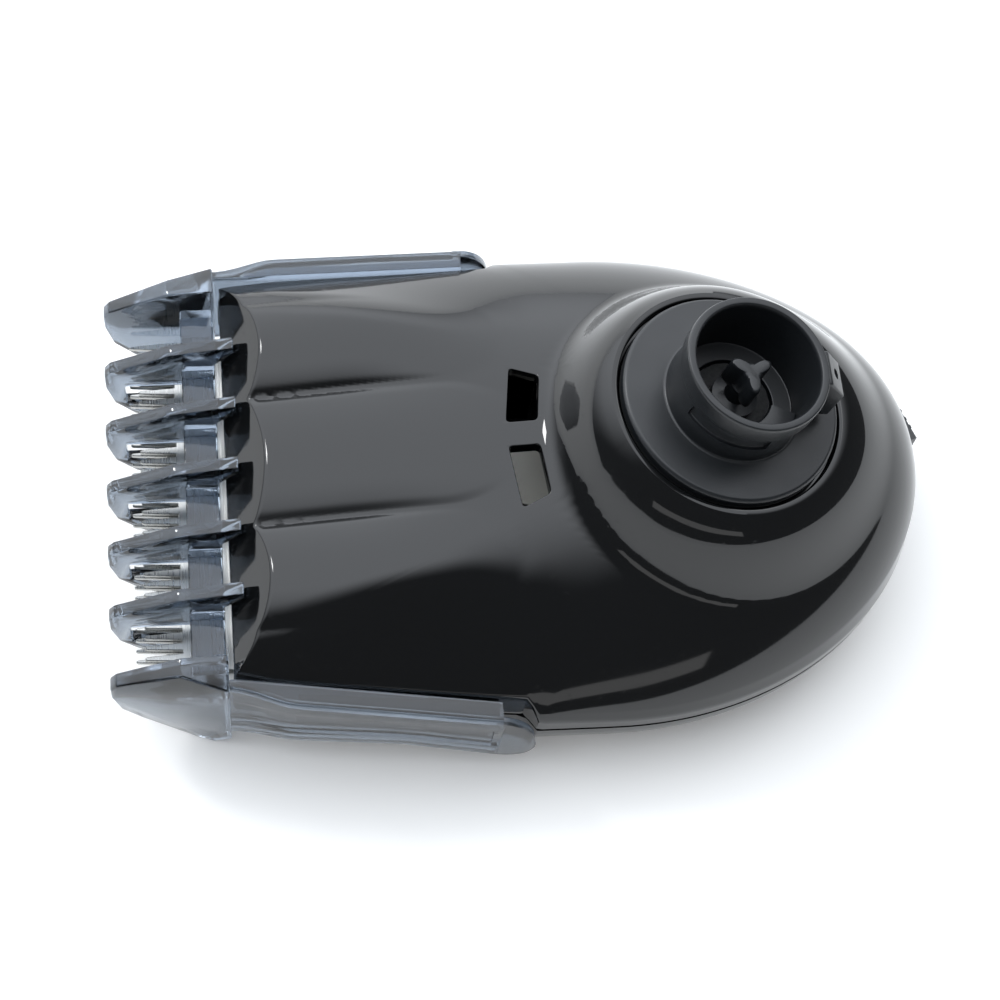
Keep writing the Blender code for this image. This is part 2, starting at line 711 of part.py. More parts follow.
def toothed(name, teeth, tip_x, rear_x, low, finish):
    """A flat blade with a row of tapered teeth along its front."""
    half = teeth * TOOTH_PITCH / 2
    root_x = tip_x + TOOTH_LENGTH
    outline = [(rear_x, -half)]
    for n in range(teeth):
        middle = -half + (n + 0.5) * TOOTH_PITCH
        for x, off in ((root_x, -0.36), (tip_x, -0.16), (tip_x, 0.16), (root_x, 0.36)):
            outline.append((x, middle + off * TOOTH_PITCH))
    outline.append((rear_x, half))
    return slab(name, outline, low, low + BLADE_THICK, finish)


def fixed_blade(finish):
    body = toothed("fixed_blade", FIXED_TEETH, FIXED_TIP_X, FIXED_REAR_X, FIXED_Z, finish)
    cuts = [round_bar(f"blade_hole_{side}", BLADE_SCREW_X, side * BLADE_SCREW_Y,
                      FIXED_Z - MM, FIXED_Z + MM, 0.75 * MM, 12) for side in (-1, 1)]
    return change(body, cuts, "DIFFERENCE")


def moving_blade(finish):
    return toothed("moving_blade", MOVING_TEETH, FIXED_TIP_X + MOVING_BACK, MOVING_REAR_X,
                   FIXED_Z + BLADE_THICK + BLADE_GAP, finish)


def blade_driver(finish):
    """Block on the moving blade with a pocket for the lever's finger."""
    x = LEVER_X - LEVER_FRONT
    top = driver_top()
    body = box("blade_driver", (x - 2.1 * MM, -DRIVER_HALF, top - 1.8 * MM),
               (x + 1.9 * MM, DRIVER_HALF, top), finish, False)
    pocket = box("driver_pocket", (x - 1.4 * MM, -1.05 * MM, top - 1.4 * MM),
                 (x + 1.3 * MM, 1.05 * MM, top + MM))
    return change(body, [pocket], "DIFFERENCE")


def cutter_holder(finish):
    low = holder_low_z()
    half = FIXED_TEETH * TOOTH_PITCH / 2 - 0.2 * MM
    body = box("cutter_holder", (cover_front_x() + 0.1 * MM, -half, low),
               (FIXED_REAR_X + 0.2 * MM, half, low + HOLDER_THICK), finish, False)
    cuts = [round_bar(f"holder_hole_{side}", BLADE_SCREW_X, side * BLADE_SCREW_Y,
                      low - MM, low + 3 * MM, 0.75 * MM, 12) for side in (-1, 1)]
    return change(body, cuts, "DIFFERENCE")


def blade_spring(finish):
    """A bent wire whose two legs press the driver down."""
    curve = bpy.data.curves.new("blade_spring", "CURVE")
    curve.dimensions = "3D"
    curve.bevel_depth = 0.2 * MM
    curve.bevel_resolution = 2
    curve.use_fill_caps = True
    wire = curve.splines.new("POLY")
    front = LEVER_X - LEVER_FRONT - 0.5 * MM
    rear = -10.5 * MM
    high = driver_top() + 0.25 * MM
    low = FRAME_Z + FRAME_THICK + 0.32 * MM
    half = 3.5 * MM
    bend = front + 3.2 * MM
    points = [(front, -half, high), (bend, -half, high), (rear - 2.5 * MM, -half, low + 0.1 * MM),
              (rear, -half + 0.6 * MM, low), (rear, half - 0.6 * MM, low),
              (rear - 2.5 * MM, half, low + 0.1 * MM), (bend, half, high), (front, half, high)]
    wire.points.add(len(points) - 1)
    for point, place_at in zip(wire.points, points):
        point.co = (*place_at, 1.0)
    made = bpy.data.objects.new("blade_spring", curve)
    curve.materials.append(finish)
    bpy.data.collections[PARTS].objects.link(made)
    return made


# ---------------------------------------------------------------- length setting

def selector_post_top():
    return SELECTOR_Z + SELECTOR_THICK + GAP


def arm_low_z():
    return PART_Z - 2.1 * MM


def setting_range():
    return 2 * SELECTOR_REST


def sector_outer():
    return CAM_START_R + COMB_TRAVEL + FOLLOWER_R + MM


def spring_x():
    """Where the detent spring touches the rim of the selector."""
    return SELECTOR_X - sector_outer() - 0.5 * MM


def polar(radius, turn):
    """A plan point about the selector's pivot; turn zero points to the front."""
    return SELECTOR_X - radius * math.cos(turn), -radius * math.sin(turn)


def cam_slot():
    """Slot whose radius grows evenly with the turn, so the comb moves evenly."""
    steps = 10
    start = -math.radians(1.5)
    end = setting_range() + math.radians(1.5)
    half = FOLLOWER_R + GAP
    inner = []
    outer = []
    for i in range(steps + 1):
        turn = start + (end - start) * i / steps
        radius = CAM_START_R + COMB_TRAVEL * turn / setting_range()
        inner.append(polar(radius - half, turn))
        outer.append(polar(radius + half, turn))
    first = polar(CAM_START_R, start - math.radians(4.5))
    last = polar(CAM_START_R + COMB_TRAVEL, end + math.radians(3.0))
    outline = inner + [last] + outer[::-1] + [first]
    return slab("cam_slot", outline, SELECTOR_Z - MM, SELECTOR_Z + 3 * MM, cutter=True)


def length_selector(finish):
    """Sector with a cam slot and notches, and a rear arm with the tab."""
    top = SELECTOR_Z + SELECTOR_THICK
    outer = sector_outer()
    low_turn = -math.radians(8)
    high_turn = setting_range() + math.radians(8)
    rim = [polar(outer, low_turn + (high_turn - low_turn) * i / 16) for i in range(17)]
    outline = [polar(4.0 * MM, low_turn - 0.9)] + rim + [polar(4.0 * MM, high_turn + 0.9)]
    body = slab("length_selector", outline, SELECTOR_Z, top, finish)
    joins = [round_bar("selector_hub", SELECTOR_X, 0, SELECTOR_Z, top - 0.02 * MM, 4.4 * MM, 28)]
    turn = Matrix.Translation((SELECTOR_X, 0, 0)) @ Matrix.Rotation(SELECTOR_REST, 4, "Z")
    reach = REAR_X - SELECTOR_X
    rise = arm_low_z()
    bend = reach - 7 * MM
    half = 2.1 * MM
    arm = [((3 * MM, -half, SELECTOR_Z + 0.02 * MM), (bend, half, top - 0.04 * MM)),
           ((bend - 2 * MM, -half - 0.1 * MM, SELECTOR_Z + 0.04 * MM),
            (bend + 0.1 * MM, half + 0.1 * MM, rise + 1.58 * MM)),
           ((bend - MM, -half, rise), (reach, half, rise + 1.6 * MM)),
           ((reach - 0.4 * MM + GAP, -3.0 * MM, PART_Z - 4.0 * MM),
            (reach + TAB_REACH, 3.0 * MM, PART_Z))]
    for n, (low, high) in enumerate(arm):
        piece = box(f"selector_arm_{n}", low, high)
        piece.data.transform(turn)
        joins.append(piece)
    joins.append(tab_shutter(turn))
    cuts = [cam_slot()]
    cuts.append(round_bar("selector_bore", SELECTOR_X, 0, 0, PART_Z, 2.2 * MM + FIT, 28))
    for n in range(SETTINGS):
        x, y = polar(outer + 0.15 * MM, setting_range() * n / (SETTINGS - 1))
        cuts.append(round_bar(f"detent_{n}", x, y, SELECTOR_Z - MM, top + MM, 0.6 * MM, 10))
    change(body, joins, "UNION")
    change(body, cuts, "DIFFERENCE")
    body.data.transform(Matrix.Translation((-SELECTOR_X, 0, 0)))
    body.location = (SELECTOR_X, 0, 0)
    return body


def tab_shutter(turn):
    """Curved wall on the selector that closes the slot beside the tab."""
    outer = REAR_X - SELECTOR_X - WALL - 0.7 * MM
    reach = setting_range() + math.asin(2.7 * MM / outer)
    steps = [-reach + 2 * reach * i / 16 for i in range(17)]
    outline = [(outer * math.cos(a), outer * math.sin(a)) for a in steps]
    inner = outer - 0.8 * MM
    outline += [(inner * math.cos(a), inner * math.sin(a)) for a in steps[::-1]]
    return slab("tab_shutter", outline, arm_low_z() - 0.1 * MM, PART_Z - 0.2 * MM, cutter=True,
                frame=turn)


def detent_spring(finish):
    """A flat wire across the selector's rim, hooked round two posts."""
    curve = bpy.data.curves.new("detent_spring", "CURVE")
    curve.dimensions = "3D"
    curve.bevel_depth = 0.2 * MM
    curve.bevel_resolution = 2
    curve.use_fill_caps = True
    wire = curve.splines.new("POLY")
    x = spring_x()
    z = SELECTOR_Z + SELECTOR_THICK / 2
    half = [(0.1, 0.5), (-0.2, 2.0), (-0.1, 6.8), (-0.4, 7.5), (-1.8, 7.5)]
    points = [(x + a * MM, b * MM) for a, b in half[::-1]]
    points += [(x + a * MM, -b * MM) for a, b in half]
    wire.points.add(len(points) - 1)
    for point, (px, py) in zip(wire.points, points):
        point.co = (px, py, z, 1.0)
    made = bpy.data.objects.new("detent_spring", curve)
    curve.materials.append(finish)
    bpy.data.collections[PARTS].objects.link(made)
    return made


def comb_carriage(finish):
    """Slide under the inner frame with a follower pin and a rail on each side."""
    low = CARRIAGE_Z
    top = CARRIAGE_Z + CARRIAGE_THICK
    front = CARRIAGE_REAR_X - CARRIAGE_LENGTH
    web = neck_half(CARRIAGE_REAR_X) + GAP
    body = box("comb_carriage", (front, -web - 0.3 * MM, low),
               (CARRIAGE_REAR_X, web + 0.3 * MM, top), finish, False)
    pin = SELECTOR_X - CAM_START_R
    joins = [box("carriage_tongue", (front + MM, -2.0 * MM, low + 0.02 * MM),
                 (pin + 1.6 * MM, 2.0 * MM, top - 0.02 * MM))]
    joins.append(round_bar("follower", pin, 0, SELECTOR_Z - 0.2 * MM, low + 0.4 * MM,
                           FOLLOWER_R, 16))
    for side in (-1, 1):
        joins.append(carriage_rail(f"rail_{side}", side))
        joins.append(carriage_rail(f"web_{side}", side, web=True))
    return change(body, joins, "UNION")


def carriage_rail(name, side, web=False):
    low_x = -20.5 * MM
    high_x = CARRIAGE_REAR_X + 0.5 * MM
    low_z = 7.5 * MM
    high_z = RAIL_TOP_Z
    if web:
        low_x = CARRIAGE_REAR_X - CARRIAGE_LENGTH + 0.1 * MM
        high_x = CARRIAGE_REAR_X - 0.1 * MM
        low_z = CARRIAGE_Z + 0.04 * MM
        high_z = RAIL_TOP_Z - 0.2 * MM
    rings = []
    for x in (low_x, high_x):
        near = neck_half(x) + GAP + (0.02 * MM if web else 0)
        far = near + RAIL_THICK - (0.04 * MM if web else 0)
        rings.append([(x, side * near, low_z), (x, side * far, low_z),
                      (x, side * far, high_z), (x, side * near, high_z)])
    bm = bmesh.new()
    loft(bm, rings, True, True)
    return place(name, bm, cutter=True)


# ---------------------------------------------------------------- comb

def rib_outline():
    """Side view of a rib: a hook round the blades, open to the rear."""
    tip = COMB_TIP_X
    low = FIXED_Z - 0.4 * MM
    top = FIXED_Z + 2.7 * MM
    mouth = FIXED_TIP_X - GAP
    return [(-24.35 * MM, 15.3 * MM), (-29.5 * MM, 14.3 * MM), (tip + 0.5 * MM, 11.6 * MM),
            (tip, 10.8 * MM), (tip, 8.9 * MM), (tip + 0.6 * MM, 6.2 * MM),
            (tip + 2.1 * MM, 4.2 * MM), (-28.6 * MM, GAP), (-27.2 * MM, GAP),
            (-24.0 * MM, 4.2 * MM), (-24.0 * MM, low), (mouth, low), (mouth, top),
            (-25.9 * MM, top), (-25.9 * MM, 12.4 * MM), (-24.35 * MM, 14.2 * MM)]


def rib(name, y, finish=None, cutter=True):
    upright = Matrix.Translation((0, y, 0)) @ Matrix.Rotation(math.pi / 2, 4, "X")
    return slab(name, rib_outline(), -RIB_THICK / 2, RIB_THICK / 2, finish, cutter, upright)


def cheek_out(x):
    """Outer face of a cheek, flaring out to the arm."""
    bend = -30.5 * MM
    return CHEEK_OUT_Y + 0.37 * max(0.0, x - bend)


def cheek(name, side):
    tip = COMB_TIP_X
    outline = [(-25.8 * MM, 14.6 * MM), (-29.5 * MM, 14.3 * MM), (tip + 0.5 * MM, 11.6 * MM),
               (tip, 10.8 * MM), (tip, 8.9 * MM), (tip + 0.6 * MM, 6.2 * MM),
               (tip + 2.1 * MM, 4.2 * MM), (-28.6 * MM, GAP), (-27.2 * MM, GAP),
               (-25.8 * MM, 2.2 * MM), (-25.8 * MM, 8.0 * MM)]
    rings = [[(x, side * CHEEK_IN_Y, z) for x, z in outline],
             [(x, side * cheek_out(x), z) for x, z in outline]]
    bm = bmesh.new()
    loft(bm, rings, True, True)
    return place(name, bm, cutter=True)


def arm_low(x):
    """Lower edge of an arm."""
    if x < -12 * MM:
        return 4.6 * MM
    return 4.6 * MM - 0.23 * (x + 12 * MM)


def arm_top(x):
    return 13.9 * MM - 0.135 * (x + 26.5 * MM)


def arm_section(side, x, near_y, far_y, flange, low, top):
    """A channel open to the body: outer wall, upper flange and lower lip."""
    inner = far_y - ARM_THICK
    lip = 0.6 * MM
    points = [(near_y, top), (far_y, top - 0.2 * MM), (far_y, low), (near_y, low),
              (near_y, low + lip), (inner, low + lip), (inner, top - flange),
              (near_y, top - flange)]
    return [(x, side * y, z) for y, z in points]


def arm(name, side):
    front = -26.4 * MM
    bend = -20.6 * MM
    thick = ARM_THICK + 1.4 * MM
    rings = [arm_section(side, front, CHEEK_IN_Y + 1.8 * MM, cheek_out(front) - 0.05 * MM,
                         0.9 * MM, 3.4 * MM, arm_top(front))]
    for x in (bend, -12 * MM, CHANNEL_END_X):
        near = neck_half(x) + GAP
        rings.append(arm_section(side, x, near, neck_half(x) + thick, 0.9 * MM,
                                 arm_low(x), arm_top(x)))
    bm = bmesh.new()
    loft(bm, rings, True, True)
    return place(name, bm, cutter=True)


def arm_end(name, side):
    """The rounded end of an arm, only its outer wall."""
    x0 = CHANNEL_END_X - 0.6 * MM
    rings = []
    for x, drop in ((x0, 0.06 * MM), (ARM_END_X - 1.2 * MM, 0.5 * MM), (ARM_END_X, 2.8 * MM)):
        far = neck_half(x) + ARM_THICK + 1.4 * MM - 0.03 * MM
        near = far - ARM_THICK + 0.08 * MM
        low = arm_low(x) + drop
        top = arm_top(x) - drop - 0.2 * MM
        rings.append([(x, side * near, low), (x, side * far, low), (x, side * far, top),
                      (x, side * near, top)])
    bm = bmesh.new()
    loft(bm, rings, True, True)
    return place(name, bm, cutter=True)


def guard_comb(finish):
    """Five ribs and two cheeks on a tie bar, with two channel arms."""
    body = box("guard_comb", (-28.7 * MM, -CHEEK_IN_Y - 0.4 * MM, 9.4 * MM),
               (-25.95 * MM, CHEEK_IN_Y + 0.4 * MM, 11.6 * MM), finish, False)
    joins = [rib(f"rib_{n}", n * RIB_PITCH) for n in range(-2, 3)]
    for side in (-1, 1):
        joins.append(cheek(f"cheek_{side}", side))
        joins.append(arm(f"arm_{side}", side))
        joins.append(arm_end(f"arm_end_{side}", side))
    return change(body, joins, "UNION")


# ---------------------------------------------------------------- screws

def screw(name, x, y, head_z, up, finish, length, head_r=SCREW_HEAD_R, shank_r=SCREW_R,
          head=SCREW_HEAD, frame=None):
    """A pan head with a cross recess and a plain shank; up is the way the shank points."""
    low = head_z if up > 0 else head_z - head
    body = round_bar(name, x, y, low, low + head, head_r, 18, frame, finish, False)
    if up > 0:
        shank = (low + head - 0.1 * MM, low + head + length)
        recess = (low - MM, low + 0.35 * MM)
    else:
        shank = (low - length, low + 0.1 * MM)
        recess = (low + head - 0.35 * MM, low + head + MM)
    change(body, [round_bar(name + "_shank", x, y, *shank, shank_r, 12, frame)], "UNION")
    slot = box(name + "_recess", (x - head_r * 0.6, y - 0.15 * MM, recess[0]),
               (x + head_r * 0.6, y + 0.15 * MM, recess[1]))
    if frame:
        slot.data.transform(frame)
    return change(body, [slot], "DIFFERENCE")


def screws(steel):
    for side, word in ((-1, "near"), (1, "far")):
        for n, (x, y) in enumerate(COVER_SCREWS):
            screw(f"cover_screw_{('front', 'rear')[n]}_{word}", x, side * y, 0.25 * MM, 1,
                  steel, 10.2 * MM)
        screw(f"blade_screw_{word}", BLADE_SCREW_X, side * BLADE_SCREW_Y,
              FIXED_Z + BLADE_THICK + 0.75 * MM, -1, steel, 5.0 * MM, 1.2 * MM, 0.6 * MM,
              0.6 * MM)
        screw(f"frame_screw_{word}", FRAME_EAR_X, side * FRAME_EAR_Y, FRAME_Z - 0.85 * MM, 1,
              steel, 5.2 * MM, SCREW_HEAD_R, SCREW_R, 0.6 * MM)
    screw("selector_screw", SELECTOR_X, 0, selector_post_top() + 0.9 * MM, -1, steel,
          3.2 * MM, 3.0 * MM, 0.6 * MM, 0.6 * MM)
    under = -FLANGE_THICK - GAP - WALL - 0.2 * MM
    for n in range(3):
        turn = math.radians(60 + 120 * n)
        screw(f"spigot_screw_{n + 1}", SPIGOT_SCREW_R * math.cos(turn),
              SPIGOT_SCREW_R * math.sin(turn), under - 0.8 * MM, 1, steel, 1.5 * MM,
              SCREW_HEAD_R, 0.5 * MM, 0.8 * MM, spigot_frame())


def main():
    clear_scene()
    collection(PARTS)
    collection(CUTTERS)
    black = material("gloss_black", (0.013, 0.014, 0.016), 0.12)
    satin = material("satin_black", (0.025, 0.03, 0.036), 0.4)
    smoke = material("smoke_clear", (0.16, 0.19, 0.24), 0.12, alpha=0.6)
    steel = material("blade_steel", (0.62, 0.62, 0.63), 0.25, 1.0)
    white = material("white_acetal", (0.75, 0.75, 0.72), 0.4)
    brass = material("brass", (0.72, 0.52, 0.25), 0.3, 1.0)
    felt = material("seal_rubber", (0.03, 0.03, 0.03), 0.7)
    main_housing(black)
    face_cover(black)
    coupling_spigot(satin)
    spindle_bush(brass)
    spindle_seal(felt)
    drive_spindle(satin)
    spindle_circlip(steel)
    eccentric_cam(white)
    drive_lever(white)
    lever_pivot_pin(steel)
    pivot_clip(steel)
    inner_frame(satin)
    fixed_blade(steel)
    moving_blade(steel)
    blade_driver(white)
    cutter_holder(satin)
    blade_spring(steel)
    length_selector(satin)
    detent_spring(steel)
    comb_carriage(satin)
    guard_comb(smoke)
    screws(steel)


main()
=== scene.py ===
import json
import math

import bmesh
import bpy
from mathutils import Matrix, Vector


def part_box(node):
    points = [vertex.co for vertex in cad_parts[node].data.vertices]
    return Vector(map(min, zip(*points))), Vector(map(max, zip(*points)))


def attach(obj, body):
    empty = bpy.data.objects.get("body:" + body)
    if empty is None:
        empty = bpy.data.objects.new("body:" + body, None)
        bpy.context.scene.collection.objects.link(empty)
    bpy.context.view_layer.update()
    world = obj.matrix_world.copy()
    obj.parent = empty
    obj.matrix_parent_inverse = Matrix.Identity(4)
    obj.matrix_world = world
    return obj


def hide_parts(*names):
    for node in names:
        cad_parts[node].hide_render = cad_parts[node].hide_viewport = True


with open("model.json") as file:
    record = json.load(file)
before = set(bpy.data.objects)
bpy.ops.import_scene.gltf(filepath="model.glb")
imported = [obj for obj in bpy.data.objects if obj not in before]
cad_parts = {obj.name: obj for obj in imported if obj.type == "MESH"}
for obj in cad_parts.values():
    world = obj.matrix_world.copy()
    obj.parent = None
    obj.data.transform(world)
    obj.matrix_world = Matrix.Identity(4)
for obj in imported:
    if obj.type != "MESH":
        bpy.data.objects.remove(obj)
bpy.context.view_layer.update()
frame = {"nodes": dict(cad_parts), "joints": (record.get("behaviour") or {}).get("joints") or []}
nodes = frame["nodes"]
mm = 0.001

# small helpers


def linear(code):  # sRGB hex to the linear colour that the shaders take
    channels = [int(code[i:i + 2], 16) / 255 for i in (1, 3, 5)]
    return tuple(c / 12.92 if c < 0.04045 else ((c + 0.055) / 1.055) ** 2.4 for c in channels)


def addNode(tree, kind, settings=None, links=None):
    node = tree.nodes.new(kind)
    for name, value in (settings or {}).items():
        if isinstance(name, str) and hasattr(node, name):
            setattr(node, name, value)
        else:
            node.inputs[name].default_value = value
    for name, (source, output) in (links or {}).items():
        tree.links.new(source.outputs[output], node.inputs[name])
    return node


def newMaterial(name, settings):  # one Principled shader with its fixed values on its own sockets
    made = bpy.data.materials.new(name)
    made.use_nodes = True
    tree = made.node_tree
    shader = tree.nodes["Principled BSDF"]
    for socket, value in settings.items():
        if socket == "Base Color":
            value = (*linear(value), 1)
        shader.inputs[socket].default_value = value
    return made, tree, shader


def perMetre(size):  # noise scale for a pattern whose cells are this many millimetres
    return 1000 / size


def smoothStep(low, high, value):
    share = min(1, max(0, (value - low) / (high - low)))
    return share * share * (3 - 2 * share)


def softMin(a, b, width):
    share = max(width - abs(a - b), 0) / width
    return min(a, b) - share * share * width / 4


def newPiece(name, bm, material, sharp=35):  # a finished mesh in its place, smooth with crisp edges
    mesh = bpy.data.meshes.new(name)
    bm.to_mesh(mesh)
    bm.free()
    mesh.materials.append(material)
    mesh.shade_smooth()
    mesh.set_sharp_from_angle(angle=math.radians(sharp))
    made = bpy.data.objects.new(name, mesh)
    bpy.context.scene.collection.objects.link(made)
    return made


def finishPiece(piece, body, slot, *replaced):
    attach(piece, body)
    if replaced:
        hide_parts(*replaced)


# camera

cameraPlace = {"location": (-25.35, -74.15, 171.45), "turn": (24.494, -5.622, -5.241), "lens": 76.83}
cameraData = bpy.data.cameras.new("camera")
cameraData.lens = cameraPlace["lens"]
cameraData.clip_start = 0.01
camera = bpy.data.objects.new("camera", cameraData)
camera.location = [v * mm for v in cameraPlace["location"]]
camera.rotation_euler = [math.radians(v) for v in cameraPlace["turn"]]
bpy.context.scene.collection.objects.link(camera)
bpy.context.scene.camera = camera
bpy.context.scene.view_settings.view_transform = "Standard"

# studio

studio = {
    # the room is a big soft box behind and above: its direction, where its edge fades, dark and bright
    "softBox": (-0.25, 0.6, 0.76), "fade": (0.32, 0.84), "room": (0.16, 2.5),
    "floor": "#fbfbf9", "floorGlow": 0.16,
    # place and aim in millimetres, width and height in millimetres, brightness of the face
    "lamps": {
        "frontStrip": ((-270, 190, 320), (-5, 0, 15), 60, 110, 22),
        "rearStrip": ((300, 230, 260), (10, 0, 10), 50, 200, 1.2),
        "sideFill": ((-60, -420, 120), (0, 0, 8), 500, 60, 0.9),
    },
}


def addLamp(name, place, aim, width, height, brightness):
    data = bpy.data.lights.new(name, "AREA")
    data.shape = "RECTANGLE"
    data.size = width * mm
    data.size_y = height * mm
    data.energy = brightness * math.pi * data.size * data.size_y
    lamp = bpy.data.objects.new(name, data)
    lamp.location = [v * mm for v in place]
    lamp.rotation_euler = (Vector(aim) - Vector(place)).to_track_quat("-Z", "Y").to_euler()
    lamp.visible_camera = False
    bpy.context.scene.collection.objects.link(lamp)


for name, lamp in studio["lamps"].items():
    addLamp(name, *lamp)

world = bpy.data.worlds.new("studioRoom")
world.use_nodes = True
room = world.node_tree
grey = room.nodes["Background"]
grey.inputs["Color"].default_value = (0.9, 0.94, 1.0, 1)
toward = addNode(room, "ShaderNodeTexCoord")
side = addNode(room, "ShaderNodeVectorMath", {"operation": "DOT_PRODUCT", 1: studio["softBox"]},
               {0: (toward, "Generated")})
level = addNode(room, "ShaderNodeMapRange", {
    "interpolation_type": "SMOOTHSTEP", "From Min": studio["fade"][0], "From Max": studio["fade"][1],
    "To Min": studio["room"][0], "To Max": studio["room"][1]}, {"Value": (side, "Value")})
room.links.new(level.outputs["Result"], grey.inputs["Strength"])
bpy.context.scene.world = world

# matt paper sweep: no gloss, only a soft shade under the part
paper, tree, shader = newMaterial("mattPaper", {"Base Color": studio["floor"], "Roughness": 0.9,
                                                "Specular IOR Level": 0.1, "Emission Color": (1, 1, 1, 1),
                                                "Emission Strength": studio["floorGlow"]})
below = addNode(tree, "ShaderNodeNewGeometry")
clear = addNode(tree, "ShaderNodeBsdfTransparent")
paperMix = addNode(tree, "ShaderNodeMixShader", {}, {0: (below, "Backfacing"), 1: (shader, "BSDF"),
                                                    2: (clear, "BSDF")})
tree.links.new(paperMix.outputs["Shader"], tree.nodes["Material Output"].inputs["Surface"])
bm = bmesh.new()
bmesh.ops.create_grid(bm, x_segments=8, y_segments=8, size=1.6)
floor = newPiece("floor", bm, paper)
print("camera, studio and floor ready")

# materials

# injection-moulded ABS polished in the tool: deep black, mirror-like, with faint haze from wiping
# and a very slight flow of the surface
polishedAbs, tree, shader = newMaterial("polishedBlackAbs", {
    "Base Color": "#0a0b0c", "IOR": 1.54, "Specular IOR Level": 0.5})
place = addNode(tree, "ShaderNodeTexCoord")
haze = addNode(tree, "ShaderNodeTexNoise", {"Scale": perMetre(14), "Detail": 4, "Roughness": 0.6},
               {"Vector": (place, "Object")})
dust = addNode(tree, "ShaderNodeTexNoise", {"Scale": perMetre(0.7), "Detail": 2},
               {"Vector": (place, "Object")})
wiped = addNode(tree, "ShaderNodeMapRange", {"From Min": 0.35, "From Max": 0.7, "To Min": 0.035,
                                             "To Max": 0.085}, {"Value": (haze, "Fac")})
specks = addNode(tree, "ShaderNodeMapRange", {"From Min": 0.66, "From Max": 0.74, "To Min": 0,
                                              "To Max": 0.12}, {"Value": (dust, "Fac")})
gloss = addNode(tree, "ShaderNodeMath", {"operation": "ADD"}, {0: (wiped, "Result"), 1: (specks, "Result")})
tree.links.new(gloss.outputs["Value"], shader.inputs["Roughness"])
flow = addNode(tree, "ShaderNodeTexNoise", {"Scale": perMetre(9), "Detail": 1},
               {"Vector": (place, "Object")})
swell = addNode(tree, "ShaderNodeBump", {"Strength": 0.35, "Distance": 0.00004},
                {"Height": (flow, "Fac")})
tree.links.new(swell.outputs["Normal"], shader.inputs["Normal"])

# spark-eroded ABS: fine even grain that spreads highlights into a soft sheen
grainedAbs, tree, shader = newMaterial("grainedBlackAbs", {
    "Base Color": "#15181b", "IOR": 1.54, "Specular IOR Level": 0.5})
place = addNode(tree, "ShaderNodeTexCoord")
grain = addNode(tree, "ShaderNodeTexNoise", {"Scale": perMetre(0.16), "Detail": 2},
                {"Vector": (place, "Object")})   # real grain is about 0.05 mm, drawn coarser to show
patch = addNode(tree, "ShaderNodeTexNoise", {"Scale": perMetre(5), "Detail": 3},
                {"Vector": (place, "Object")})
sheen = addNode(tree, "ShaderNodeMapRange", {"From Min": 0.3, "From Max": 0.7, "To Min": 0.3,
                                             "To Max": 0.42}, {"Value": (patch, "Fac")})
tree.links.new(sheen.outputs["Result"], shader.inputs["Roughness"])
pits = addNode(tree, "ShaderNodeBump", {"Strength": 0.5, "Distance": 0.00001},
               {"Height": (grain, "Fac")})
tree.links.new(pits.outputs["Normal"], shader.inputs["Normal"])

# smoke-tinted polycarbonate: clear, blue-grey in its thickness, sharp bright edges
smokePc, tree, shader = newMaterial("smokePolycarbonate", {
    "Base Color": "#7c8794", "IOR": 1.58, "Transmission Weight": 1.0})
place = addNode(tree, "ShaderNodeTexCoord")
flow = addNode(tree, "ShaderNodeTexNoise", {"Scale": perMetre(2.4), "Detail": 2},
               {"Vector": (place, "Object")})
rub = addNode(tree, "ShaderNodeMapRange", {"From Min": 0.3, "From Max": 0.75, "To Min": 0.02,
                                           "To Max": 0.14}, {"Value": (flow, "Fac")})
tree.links.new(rub.outputs["Result"], shader.inputs["Roughness"])
ripple = addNode(tree, "ShaderNodeBump", {"Strength": 0.25, "Distance": 0.00003},
                 {"Height": (flow, "Fac")})
tree.links.new(ripple.outputs["Normal"], shader.inputs["Normal"])


def brushedMetal(name, colour, low, high, along, across):  # grinding lines run along Y
    made, tree, shader = newMaterial(name, {"Base Color": colour, "Metallic": 1.0})
    place = addNode(tree, "ShaderNodeTexCoord")
    stretch = addNode(tree, "ShaderNodeMapping", {"Scale": (perMetre(across), perMetre(along),
                                                            perMetre(across))},
                      {"Vector": (place, "Object")})
    lines = addNode(tree, "ShaderNodeTexNoise", {"Scale": 1.0, "Detail": 3}, {"Vector": (stretch, "Vector")})
    shine = addNode(tree, "ShaderNodeMapRange", {"From Min": 0.3, "From Max": 0.7, "To Min": low,
                                                 "To Max": high}, {"Value": (lines, "Fac")})
    tree.links.new(shine.outputs["Result"], shader.inputs["Roughness"])
    score = addNode(tree, "ShaderNodeBump", {"Strength": 0.4, "Distance": 0.000006},
                    {"Height": (lines, "Fac")})
    tree.links.new(score.outputs["Normal"], shader.inputs["Normal"])
    return made


# hardened stainless strip, surface-ground: cool grey with fine parallel lines
groundSteel = brushedMetal("groundStainless", "#b9b9b6", 0.22, 0.4, 6, 0.12)
# nickel-plated steel of screws and springs: brighter and smoother
platedSteel = brushedMetal("nickelPlatedSteel", "#c9c7c0", 0.14, 0.28, 1.5, 0.3)
# free-cutting brass, turned
turnedBrass = brushedMetal("turnedBrass", "#c9a35a", 0.2, 0.34, 0.2, 1.2)


